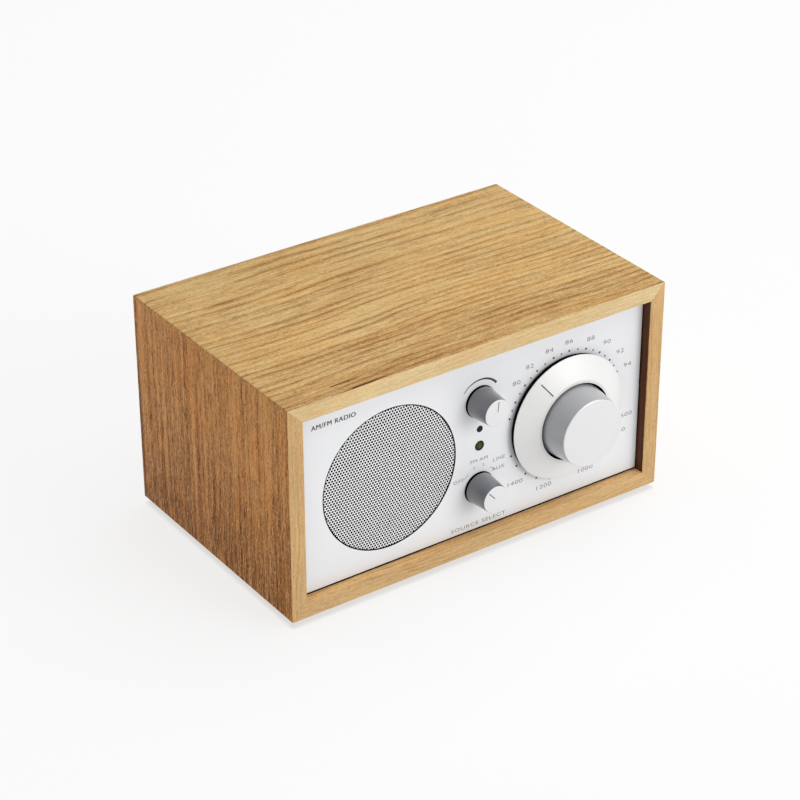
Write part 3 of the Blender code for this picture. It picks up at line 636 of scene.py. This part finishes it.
def make_front_panel():
    """The silver panel with its holes, its cut edges painted black as shadow, and a black sheet that
    paints the shadow in the gap round it.
    """
    low, high = corners("front_panel")
    edge_gap = 0.35
    foot_gap = 0.45  # the panel stands this much higher off the bottom board
    gap_shadow_rear, gap_shadow_front = -1.6, -0.3
    centre = (low + high) / 2
    half_x = (high.x - low.x) / 2 - edge_gap
    half_z = (high.z - low.z) / 2 - edge_gap

    hub_radius = 6.4
    bushing_radius = 4.3
    lamp_gap = 0.1
    outlines = [rectangle(-half_x, -half_z + foot_gap, half_x, half_z)]
    for spot, radius, sides in (
        (speaker_middle, front_radius("speaker_grille") + GRILLE_GAP, 144),
        (dial_middle, hub_radius, 48),
        (volume_middle, bushing_radius, 32),
        (source_middle, bushing_radius, 32),
        (middle("power_led"), front_radius("power_led") + lamp_gap, 48),
        (middle("tuning_led"), front_radius("tuning_led") + lamp_gap, 48),
    ):
        outlines.append(circle(radius, spot.x - centre.x, spot.z - centre.z, sides))
    piece = plate("silver_panel", outlines, low.y - high.y, 0.0, facing(centre.x, centre.z))
    settle(piece, ROOT, "panel", ["front_panel"])
    # Painted shadow: the panel's cut edges and hole walls are black.
    repaint(piece, "panel_edge_shadow_black", lambda centre, normal: normal.z < 0.5)

    # Painted shadow: a black sheet behind the gap round the panel, so that the gap reads dark.
    opening_x = cabinet_high.x - board - BOARD_GAP
    opening_z = (cabinet_high.z - cabinet_low.z) / 2 - board - BOARD_GAP
    inner_x = half_x + BOARD_GAP
    inner_z = half_z + BOARD_GAP
    outlines = [
        rectangle(-opening_x, -opening_z, opening_x, opening_z),
        rectangle(-inner_x, -inner_z + foot_gap, inner_x, inner_z),
    ]
    place = facing(centre.x, centre.z)
    piece = plate("panel_gap_shadow", outlines, gap_shadow_rear, gap_shadow_front, place)
    settle(piece, ROOT, "painted_shadow_black")


def make_grille():
    """A slightly domed disc with staggered round holes that run on to its rim and are cut off by it."""
    pitch = 1.5425
    row = pitch * math.sqrt(3) / 2
    hole_radius = 0.60
    hole_sides = 12
    rim_sides = 192
    thickness = 0.5
    sunk = 0.35  # how far the rim lies behind the panel's face
    dome = 1.0  # how far the middle stands out from the rim
    shift = 0.25  # the disc sits a little low and to the right in its hole
    cloth_gap = 0.05
    cloth_thickness = 0.5

    radius = front_radius("speaker_grille")
    face = corners("speaker_grille")[0].y
    points = [Vector(point) for point in circle(radius, sides=rim_sides)]
    outlines = [list(range(len(points)))]
    rows = int(radius / row) + 2
    columns = int(radius / pitch) + 2
    for j in range(-rows, rows + 1):
        for i in range(-columns, columns + 1):
            x = (i + 0.5 * (j % 2)) * pitch
            y = j * row
            if math.hypot(x, y) > radius + hole_radius * 0.7:
                continue
            first = len(points)
            points += [Vector(point) for point in circle(hole_radius, x, y, hole_sides)]
            outlines.append(list(range(first, len(points))))
    whole_plane, merge_distance = 0, 1e-5
    net = delaunay_2d_cdt(points, [], outlines, whole_plane, merge_distance)
    net_points, net_triangles, triangle_outlines = net[0], net[2], net[5]

    shape = bmesh.new()
    vertices = []
    for point in net_points:
        height = dome * (1 - (point.length / radius) ** 2) - sunk
        vertices.append(shape.verts.new((point.x, point.y, height)))
    for triangle, inside in zip(net_triangles, triangle_outlines):
        if inside == [0]:  # inside the rim and in no hole
            shape.faces.new([vertices[i] for i in triangle])
    for vertex in [v for v in shape.verts if not v.link_faces]:
        shape.verts.remove(vertex)
    bmesh.ops.recalc_face_normals(shape, faces=shape.faces[:])
    thicken(shape, shape.faces[:], thickness)
    piece = finish_mesh(
        "perforated_grille", shape, facing(speaker_middle.x + shift, speaker_middle.z - shift, face),
    )
    settle(piece, ROOT, "grille", ["speaker_grille"])
    # Painted shadow: the rim's side and the hole walls are near-black.
    repaint(piece, "painted_shadow_black", lambda centre, normal: normal.z < 0.5)

    # Partly real, partly painted shadow: black cloth behind the grille, reaching past its rim to fill
    # the gap ring with black.
    cloth_and_shadow_radius = radius + GRILLE_GAP + 0.1
    front = -sunk - thickness - cloth_gap
    rear = front - cloth_thickness
    cloth = [(0, front), (cloth_and_shadow_radius, front), (cloth_and_shadow_radius, rear), (0, rear)]
    place = facing(speaker_middle.x, speaker_middle.z, face)
    piece = turned("grille_cloth_and_gap_shadow", cloth, place, closed=False)
    settle(piece, ROOT, "painted_shadow_black")


# ---------------------------------------------------------------- controls


SMALL_FACE_RADIUS = 6.9
TUNING_FACE_RADIUS = 17.4
POINTER_THICKNESS = 0.035
FM_POINTER_CLOCK = -37.0
VOLUME_CLOCK = 6.0
SOURCE_CLOCK = -43.0


def pointer_bar(name, place, body, inner, outer, clock, width, height, rise=0.0):
    """A thin filled line on a knob's face, from one radius to another at a clock angle.

    height is where its outer end lies; a negative rise tilts it up towards the middle.
    """
    shape = bmesh.new()
    add_plate(shape, [rectangle(-width / 2, inner, width / 2, outer)], 0.0, POINTER_THICKNESS)
    to_end = Matrix.Translation((0, outer, 0))
    tilt = to_end @ Matrix.Rotation(rise, 4, "X") @ to_end.inverted()
    bmesh.ops.transform(shape, matrix=tilt, verts=shape.verts[:])
    bmesh.ops.rotate(shape, matrix=Matrix.Rotation(-math.radians(clock), 3, "Z"), verts=shape.verts[:])
    bmesh.ops.translate(shape, vec=(0.0, 0.0, height), verts=shape.verts[:])
    piece = finish_mesh(name, shape, place)
    settle(piece, body, "pointer")


def make_small_knob(prefix, body, clock):
    """A tapered knob whose sides are painted darker as shade, the black ring in the gap behind it, which
    paints the shadow there, and its pointer.
    """
    node = f"{prefix}_knob"
    radius = front_radius(node)
    spot = middle(node)
    reach = panel_face - corners(node)[0].y
    base = panel_face - corners(node)[1].y
    place = facing(spot.x, spot.z)
    hollow_radius, hollow_end = 7.0, 4.0
    profile = [
        (0, reach), (SMALL_FACE_RADIUS, reach), (radius, base), (hollow_radius, base),
        (hollow_radius, hollow_end), (0, hollow_end),
    ]
    piece = turned(f"{prefix}_cap", softened(profile, 0.35, closed=False), place, closed=False)
    settle(piece, body, "knob", [node])
    # Painted shade: the cap's sides take a darker copy of its silver.
    repaint(piece, "shaded_small_knob_side", is_side)

    # Painted shadow: a near-black ring fills the gap between the knob and the panel.
    shaft_gap = 3.6
    neck, neck_top = radius - 0.4, base - 0.05
    flange, flange_low, flange_high = radius + 0.2, 0.12, 0.4
    shadow_skirt = [
        (shaft_gap, neck_top), (neck, neck_top), (neck, flange_high), (flange, flange_high),
        (flange, flange_low), (shaft_gap, flange_low),
    ]
    settle(turned(f"{prefix}_skirt", shadow_skirt, place), body, "painted_shadow_black")
    start, end, width = 0.8, SMALL_FACE_RADIUS - 1.0, 0.42
    sunk = 0.02
    pointer_bar(f"{prefix}_pointer", place, body, start, end, clock, width, reach - sunk)


def make_tuning():
    """The tuning knob with sides painted darker as shade, the dial's white cone with its well painted
    black as shadow, on a black hub that paints the shadow under the cone's rim, and the dial's two
    pointers.
    """
    knob_radius = front_radius("tuning_knob")
    reach = panel_face - corners("tuning_knob")[0].y
    knob_base = panel_face - corners("tuning_knob")[1].y
    place = facing(dial_middle.x, dial_middle.z)
    profile = [(0, reach), (TUNING_FACE_RADIUS, reach), (knob_radius, knob_base), (0, knob_base)]
    rounded = softened(profile, 0.7, 6, closed=False)
    piece = turned("tuning_cap", rounded, place, closed=False, steps=128)
    settle(piece, "tuning_control", "knob", ["tuning_knob"])
    # Painted shade: the knob's sides take a darker copy of its silver.
    repaint(piece, "shaded_knob_side", is_side)

    rim_radius = front_radius("dial_ring") - 0.1
    rim, rim_base = 3.2, 2.85  # heights of the cone's rim and of its underside
    land_radius, land = 21.5, 8.5  # the cone's inner edge
    well_radius, floor = knob_radius + 0.6, 3.2
    profile = [
        (land_radius, land), (rim_radius, rim), (rim_radius, rim_base), (land_radius, rim_base),
        (well_radius, floor - 0.6), (well_radius - 1.0, floor), (well_radius, floor + 0.2),
        (well_radius, land),
    ]
    piece = turned("dial_cone", softened(profile, 0.2), place, steps=144)
    settle(piece, "dial", "dial", ["dial_ring"])

    # Painted shadow: the well round the knob is near-black.
    def in_shadowed_well(centre, normal):
        return math.hypot(centre.x, centre.y) < well_radius + 0.1

    repaint(piece, "painted_shadow_black", in_shadowed_well)

    # Painted shadow: the near-black hub under the cone fills the gap below its rim.
    bore, hub, hub_end = 3.5, 6.0, -8.9
    base_radius, base_low = rim_radius - 0.5, 0.65
    inner_radius = well_radius - 0.1
    base = [
        (base_radius, rim_base - 0.05), (base_radius, base_low), (hub, base_low), (hub, hub_end),
        (bore, hub_end), (bore, floor - 0.3), (inner_radius, floor - 0.3), (inner_radius, 2.0),
    ]
    piece = turned("dial_base", base, place, steps=144)
    settle(piece, "dial", "painted_shadow_black")

    slope = math.atan2(land - rim, rim_radius - land_radius)
    outer, inner, width = 29.9, 22.4, 0.60
    start = outer - (outer - inner) / math.cos(slope)
    height = rim + (rim_radius - outer) * math.tan(slope)
    for name, clock in (("fm", FM_POINTER_CLOCK), ("am", FM_POINTER_CLOCK + 180.0)):
        pointer_bar(f"{name}_pointer", place, "dial", start, outer, clock, width, height, rise=-slope)


def make_lights():
    """Each light is a dark bezel with a slightly domed lens in it."""
    front, bezel_rear, lens_rear = 0.25, -7.0, -6.0
    lens_top, lens_drop = 0.35, 0.45
    for name, lens in (("power_led", "lens"), ("tuning_led", "green_lens")):
        radius = front_radius(name)
        spot = middle(name)
        place = facing(spot.x, spot.z)
        inner = radius * 0.66
        bezel = [(radius, front), (radius, bezel_rear), (inner, bezel_rear), (inner, front)]
        piece = turned(f"{name}_bezel", softened(bezel, 0.12), place, steps=48)
        settle(piece, ROOT, "lens", [name])
        dome = [(0.0, lens_top)]
        for a in (0.4, 0.8, 1.2, 1.57):
            dome.append((inner * math.sin(a), lens_top - lens_drop * (1 - math.cos(a))))
        dome += [(inner, lens_rear), (0.0, lens_rear)]
        piece = turned(f"{name}_lens", dome, place, closed=False, steps=48)
        settle(piece, ROOT, lens)


# ---------------------------------------------------------------- printing


PRINT_THICKNESS = 0.02
CAP_SHARE = 0.73  # the built-in font's cap height as a share of its size


def add_text(shape, text, x, y, height, stretch):
    """Adds words in the built-in font, cap height given, standing upright on the panel."""
    curve = bpy.data.curves.new("word", "FONT")
    curve.body = text
    curve.align_x = "CENTER"
    curve.align_y = "CENTER"
    curve.size = height / CAP_SHARE
    curve.space_character = 1.12
    curve.extrude = PRINT_THICKNESS / 2
    curve.resolution_u = 4
    holder = bpy.data.objects.new("word", curve)
    bpy.context.scene.collection.objects.link(holder)
    bpy.context.view_layer.update()
    solid = holder.evaluated_get(bpy.context.evaluated_depsgraph_get())
    mesh = bpy.data.meshes.new_from_object(solid)
    lift = Matrix.Translation((x, y, PRINT_THICKNESS / 2))
    mesh.transform(lift @ Matrix.Diagonal((stretch, 1.0, 1.0, 1.0)))
    shape.from_mesh(mesh)
    bpy.data.meshes.remove(mesh)
    bpy.data.objects.remove(holder)
    bpy.data.curves.remove(curve)


def print_words(name, words, place, ink, stretch):
    """Prints words, each (text, x, y, height), stretched sideways."""
    shape = bmesh.new()
    for text, x, y, height in words:
        add_text(shape, text, x, y, height, stretch)
    bmesh.ops.remove_doubles(shape, verts=shape.verts[:], dist=0.0005)
    settle(finish_mesh(name, shape, place), ROOT, ink)


def print_shapes(name, outlines, place, ink):
    """Prints filled outlines."""
    shape = bmesh.new()
    for outline in outlines:
        add_plate(shape, [outline], 0.0, PRINT_THICKNESS)
    settle(finish_mesh(name, shape, place), ROOT, ink)


def arc_band(radius, start, end, start_width, end_width, steps=48):
    """A curved band about the origin whose width grows from one end to the other."""
    outside, inside = [], []
    for i in range(steps + 1):
        t = i / steps
        clock = start + (end - start) * t
        half = (start_width + (end_width - start_width) * t) / 2
        outside.append(clocked(radius + half, clock))
        inside.append(clocked(radius - half, clock))
    return outside + inside[::-1]


SCALE_RADIUS = 33.8
SCALE_DOT = 0.58
SCALE_CAP = 2.3
# Clock angles of the scale's dots, and (text, clock angle, radius) of its numbers.
FM_CLOCKS = (-75.8, -61.3, -45.9, -30.7, -13.1, 2.7, 20.2, 36.5, 51.6, 67.4)
FM_LABELS = (
    ("80", -47.9, 39.3), ("82", -33.4, 39.2), ("84", -15.3, 38.9), ("86", 2.0, 38.7), ("88", 21.6, 39.1),
    ("90", 37.8, 39.7), ("92", 54.1, 40.4), ("94", 68.3, 40.5),
)
AM_CLOCKS = (-111.6, -123.9, -137.9, -151.8, -166.6)
AM_LABELS = (
    ("1400", -134.0, 40.4), ("1200", -162.1, 37.8), ("1000", 158.7, 37.8), ("800", 139.0, 39.0),
    ("700", 121.2, 40.2), ("600", 108.5, 40.4),
)
LAST_SMALL_CLOCKS = (FM_CLOCKS[-1] + 7.8, -174.4, 177.8, 170.0)
# The source selector's words and where they stand round its knob.
SOURCE_CAP = 1.9
SOURCE_LABELS = (
    ("OFF", -11.8, 6.9), ("FM", -3.2, 14.8), ("AM", 2.6, 14.8), ("LINE", 11.4, 11.8), ("AUX", 11.2, 6.8),
)
TITLE_X, TITLE_Z = 27.5, 94.4  # the title's middle, from the cabinet's lower left corner


def print_scale():
    """The dots and numbers round the dial."""
    place = facing(dial_middle.x, dial_middle.z)
    dots = []
    for clock in FM_CLOCKS + AM_CLOCKS:
        dots.append(circle(SCALE_DOT, *clocked(SCALE_RADIUS, clock), sides=16))
    small_clocks = [(first + second) / 2 for first, second in zip(FM_CLOCKS, FM_CLOCKS[1:])]
    small_clocks += LAST_SMALL_CLOCKS
    small_dots = []
    for clock in small_clocks:
        small_dots.append(circle(SCALE_DOT * 0.9, *clocked(SCALE_RADIUS - 0.1, clock), sides=16))
    labels = []
    for text, clock, radius in FM_LABELS + AM_LABELS:
        labels.append((text, *clocked(radius, clock), SCALE_CAP))
    print_shapes("scale_dots", dots, place, "ink")
    print_shapes("scale_small_dots", small_dots, place, "grey_ink")
    print_words("scale_numbers", labels, place, "grey_ink", 1.45)


def print_controls():
    """The volume's crescent, the source selector's words and ticks, and the panel's title."""
    place = facing(volume_middle.x, volume_middle.z)
    print_shapes("volume_crescent", [arc_band(11.6, -54.0, 52.0, 0.35, 1.25)], place, "ink")

    place = facing(source_middle.x, source_middle.z)
    words = [(text, x, y, SOURCE_CAP) for text, x, y in SOURCE_LABELS]
    print_words("source_words", words, place, "grey_ink", 1.25)
    tick_low, tick_high, tick_width = 10.6, 12.4, 0.3
    ticks = [rectangle(x, tick_low, x + tick_width, tick_high) for x in (-3.1, 2.3)]
    for start, end in ((-50.0, -35.0), (38.0, 52.0)):
        ticks.append(arc_band(10.9, start, end, tick_width, tick_width, 12))
    print_shapes("source_ticks", ticks, place, "grey_ink")
    print_words("source_title", [("SOURCE SELECT", 0.0, -19.6, 2.0)], place, "grey_ink", 1.45)

    place = facing(cabinet_low.x + TITLE_X, cabinet_low.z + TITLE_Z)
    bold_shift = 0.09  # the words are printed twice, this far each way, to look bolder
    title = [("AM/FM RADIO", x, 0.0, 2.5) for x in (-bold_shift, bold_shift)]
    print_words("panel_title", title, place, "ink", 1.0)


# ---------------------------------------------------------------- rear, feet


def make_rear():
    """The rear cover, with holes for the sockets, the screws, the port and the switch's slider."""
    low, high = corners("rear_panel")
    centre = (low + high) / 2
    half_x, half_z = (high.x - low.x) / 2, (high.z - low.z) / 2
    gap = 0.2
    port_tube = 14.5
    screw_shank = 1.5
    holes = [("bass_port", port_tube, 96)]
    for node in ("power_inlet", "line_socket", "headphone_socket", "aerial_socket"):
        holes.append((node, front_radius(node), 32))
    holes += [(f"rear_screw_{i}", screw_shank, 24) for i in range(1, 5)]
    outlines = [rectangle(-half_x, -half_z, half_x, half_z)]
    for node, radius, sides in holes:
        spot = middle(node)
        outlines.append(circle(radius + gap, centre.x - spot.x, spot.z - centre.z, sides))

    slot_gap, slot_length = 0.3, 12.4
    slider_low, slider_high = corners("aerial_switch_slider")
    slot_end = centre.x - (slider_low.x - slot_gap)
    slot_low = slider_low.z - slot_gap - centre.z
    slot_high = slider_high.z + slot_gap - centre.z
    outlines.append(rectangle(slot_end - slot_length, slot_low, slot_end, slot_high))
    place = facing(centre.x, centre.z, rear_face, rear=True)
    piece = plate("rear_cover", outlines, low.y - high.y, 0.0, place)
    settle(piece, ROOT, "black", ["rear_panel"])


def make_feet():
    """Four rubber feet that taper a little towards the floor."""
    taper = 0.5
    buried = 0.3
    for side in ("left", "right"):
        for depth in ("front", "rear"):
            node = f"foot_{depth}_{side}"
            low, high = corners(node)
            spot = (low + high) / 2
            radius = (high.x - low.x) / 2
            top = high.z + buried
            profile = [(0, top), (radius, top), (radius - taper, 0.0), (0, 0.0)]
            rounded = softened(profile, 0.5, closed=False)
            place = Matrix.Translation(Vector((spot.x, spot.y, 0.0)) * MM)
            piece = turned(f"{node}_pad", rounded, place, closed=False, steps=64)
            settle(piece, ROOT, "rubber", [node])


# ---------------------------------------------------------------- carried-over nodes


def dress_frame_nodes():
    """The CAD nodes that stay on show, most of them inside, get worked materials too."""
    looks = {
        "plain_wood": wood(
            "batten_wood", (0.55, 0.38, 0.20), (0.36, 0.22, 0.10), 41.0,
            along=2, across=0, growth=EDGE_GROWTH,
        ),
        "steel": fine_paint("zinc_steel", (0.55, 0.55, 0.56), 0.4, 1.0, 0.5),
        "nickel": fine_paint("nickel_socket", (0.66, 0.65, 0.62), 0.25, 1.0, 0.5),
        "brass": fine_paint("gear_brass", (0.65, 0.45, 0.18), 0.35, 1.0, 0.5),
        "copper": fine_paint("copper_wire", (0.70, 0.32, 0.17), 0.4, 1.0, 0.3),
        "aluminium": fine_paint("bare_aluminium", (0.75, 0.75, 0.76), 0.45, 1.0, 0.5),
        "black_metal": fine_paint("black_steel", (0.02, 0.02, 0.022), 0.45, 0.4, 0.5),
        "black_plastic": materials["black"],
        "white_plastic": fine_paint("white_plastic", (0.78, 0.77, 0.74), 0.5, 0.0, 0.5),
        "board": fine_paint("circuit_board", (0.03, 0.14, 0.05), 0.5, 0.0, 0.8, 0.01, 0.1),
        "cone_paper": fine_paint("cone_paper", (0.02, 0.02, 0.02), 0.95, 0.0, 0.6, 0.05, 0.2),
        "surround_rubber": fine_paint("surround_rubber", (0.015, 0.015, 0.015), 0.7),
        "spider_cloth": fine_paint("spider_cloth", (0.45, 0.28, 0.10), 0.9, 0.0, 0.7, 0.05, 0.1),
        "ferrite": fine_paint("ferrite", (0.05, 0.05, 0.055), 0.6, 0.0, 1.0, 0.02, 0.1),
        "knob_metal": materials["knob"],
        "dial_metal": materials["dial"],
        "silver_panel": materials["panel"],
        "grille_metal": materials["grille"],
        "lamp": materials["lens"],
        "foot_rubber": materials["rubber"],
        "veneer": materials["top"],
    }
    for part in frame["record"]["subparts"]:
        node = frame["nodes"][part["node"]]
        node.data.materials.clear()
        node.data.materials.append(looks[part["material_slot"]])


# ---------------------------------------------------------------- stage, light, camera


FLOOR_SIZE = 7.0  # metres
FLOOR_DROP = 0.00005  # metres, so that the feet do not share the floor's plane
FLOOR_GLOW = 0.77
FLOOR_REFLECTANCE = 0.20
CONTACT_SHADOW_REACH = 3.6  # millimetres over which the painted contact shadow darkens the glow beside the feet


def make_floor():
    """A lit sweep: part of its brightness is its own glow, which fades where the radio stands close as a
    painted contact shadow.
    """
    bpy.ops.mesh.primitive_plane_add(size=FLOOR_SIZE, location=(0, 0, -FLOOR_DROP))
    floor = bpy.context.active_object
    floor.name = "studio_floor"
    graph = Graph("floor_white", 0.9, 0.0, (FLOOR_REFLECTANCE,) * 3)
    graph.shader.inputs["Specular IOR Level"].default_value = 0.0
    graph.shader.inputs["Emission Color"].default_value = (1.0, 1.0, 1.0, 1.0)
    # Painted shadow: occlusion cuts the glow, darkening the floor close to the radio.
    contact_shadow_ao = graph.nodes.new("ShaderNodeAmbientOcclusion")
    contact_shadow_ao.inputs["Distance"].default_value = CONTACT_SHADOW_REACH * MM
    glow = graph.math("MULTIPLY", contact_shadow_ao.outputs["AO"], FLOOR_GLOW)
    graph.put(graph.shader.inputs["Emission Strength"], glow)
    floor.data.materials.append(graph.material)


def add_light(name, place, target, size, power):
    """A white softbox, places and sizes in metres, turned to its target."""
    light = bpy.data.lights.new(name, "AREA")
    light.shape = "RECTANGLE"
    light.size, light.size_y = size
    light.energy = power
    holder = bpy.data.objects.new(name, light)
    bpy.context.scene.collection.objects.link(holder)
    holder.location = place
    holder.rotation_euler = (Vector(target) - Vector(place)).to_track_quat("-Z", "Y").to_euler()


def make_lights_and_world():
    """A broad overhead softbox from the right, a front softbox, and a bright band round the horizon."""
    world = bpy.data.worlds.new("studio")
    bpy.context.scene.world = world
    world.use_nodes = True
    nodes, links = world.node_tree.nodes, world.node_tree.links
    nodes["Background"].inputs["Color"].default_value = (1.0, 1.0, 1.0, 1.0)
    direction = nodes.new("ShaderNodeTexCoord")
    split = nodes.new("ShaderNodeSeparateXYZ")
    band = nodes.new("ShaderNodeMapRange")
    for name, value in (("From Min", 0.08), ("From Max", 0.20), ("To Min", 0.97), ("To Max", 0.04)):
        band.inputs[name].default_value = value
    links.new(direction.outputs["Generated"], split.inputs[0])
    links.new(split.outputs["Z"], band.inputs["Value"])
    links.new(band.outputs["Result"], nodes["Background"].inputs["Strength"])
    add_light("overhead_softbox", (0.9, 0.2, 1.9), (0.9, 0.2, 0.0), (3.6, 3.0), 61.0)
    add_light("front_softbox", (0.9, -1.8, 0.9), (0.0, 0.0, 0.06), (1.4, 1.2), 24.0)
    bpy.context.scene.view_settings.view_transform = "Standard"


# The camera as it was solved from the cabinet's corners; lengths in millimetres.
VIEW_AZIMUTH = math.radians(-34.900)
VIEW_ELEVATION = math.radians(29.923)
VIEW_ROLL = math.radians(-0.107)
VIEW_DISTANCE = 1156.9
VIEW_LENS = 116.78
VIEW_TARGET_X = -46.72
VIEW_TARGET_HEIGHT = 97.29  # above the cabinet's underside, in the plane of its front edges
SENSOR_WIDTH = 36.0


def make_camera():
    """The photograph's viewpoint: a direction and a distance from a point on the front."""
    target = Vector((VIEW_TARGET_X, cabinet_low.y, cabinet_low.z + VIEW_TARGET_HEIGHT))
    level = math.cos(VIEW_ELEVATION)
    rise = math.sin(VIEW_ELEVATION)
    back = Vector((math.sin(VIEW_AZIMUTH) * level, -math.cos(VIEW_AZIMUTH) * level, rise))
    right = Vector((0, 0, 1)).cross(back).normalized()
    up = back.cross(right)
    turned_right = right * math.cos(VIEW_ROLL) + up * math.sin(VIEW_ROLL)
    turned_up = back.cross(turned_right)
    spin = Matrix((turned_right, turned_up, back)).transposed().to_4x4()
    lens = bpy.data.cameras.new("camera")
    lens.lens = VIEW_LENS
    lens.sensor_width = SENSOR_WIDTH
    camera = bpy.data.objects.new("camera", lens)
    bpy.context.scene.collection.objects.link(camera)
    camera.matrix_world = Matrix.Translation((target + back * VIEW_DISTANCE) * MM) @ spin
    bpy.context.scene.camera = camera


make_camera()
make_floor()
make_lights_and_world()
dress_frame_nodes()
make_cabinet()
make_front_panel()
make_grille()
make_small_knob("volume", "volume_control", VOLUME_CLOCK)
make_small_knob("source", "source_control", SOURCE_CLOCK)
make_tuning()
make_lights()
print_scale()
print_controls()
make_rear()
make_feet()
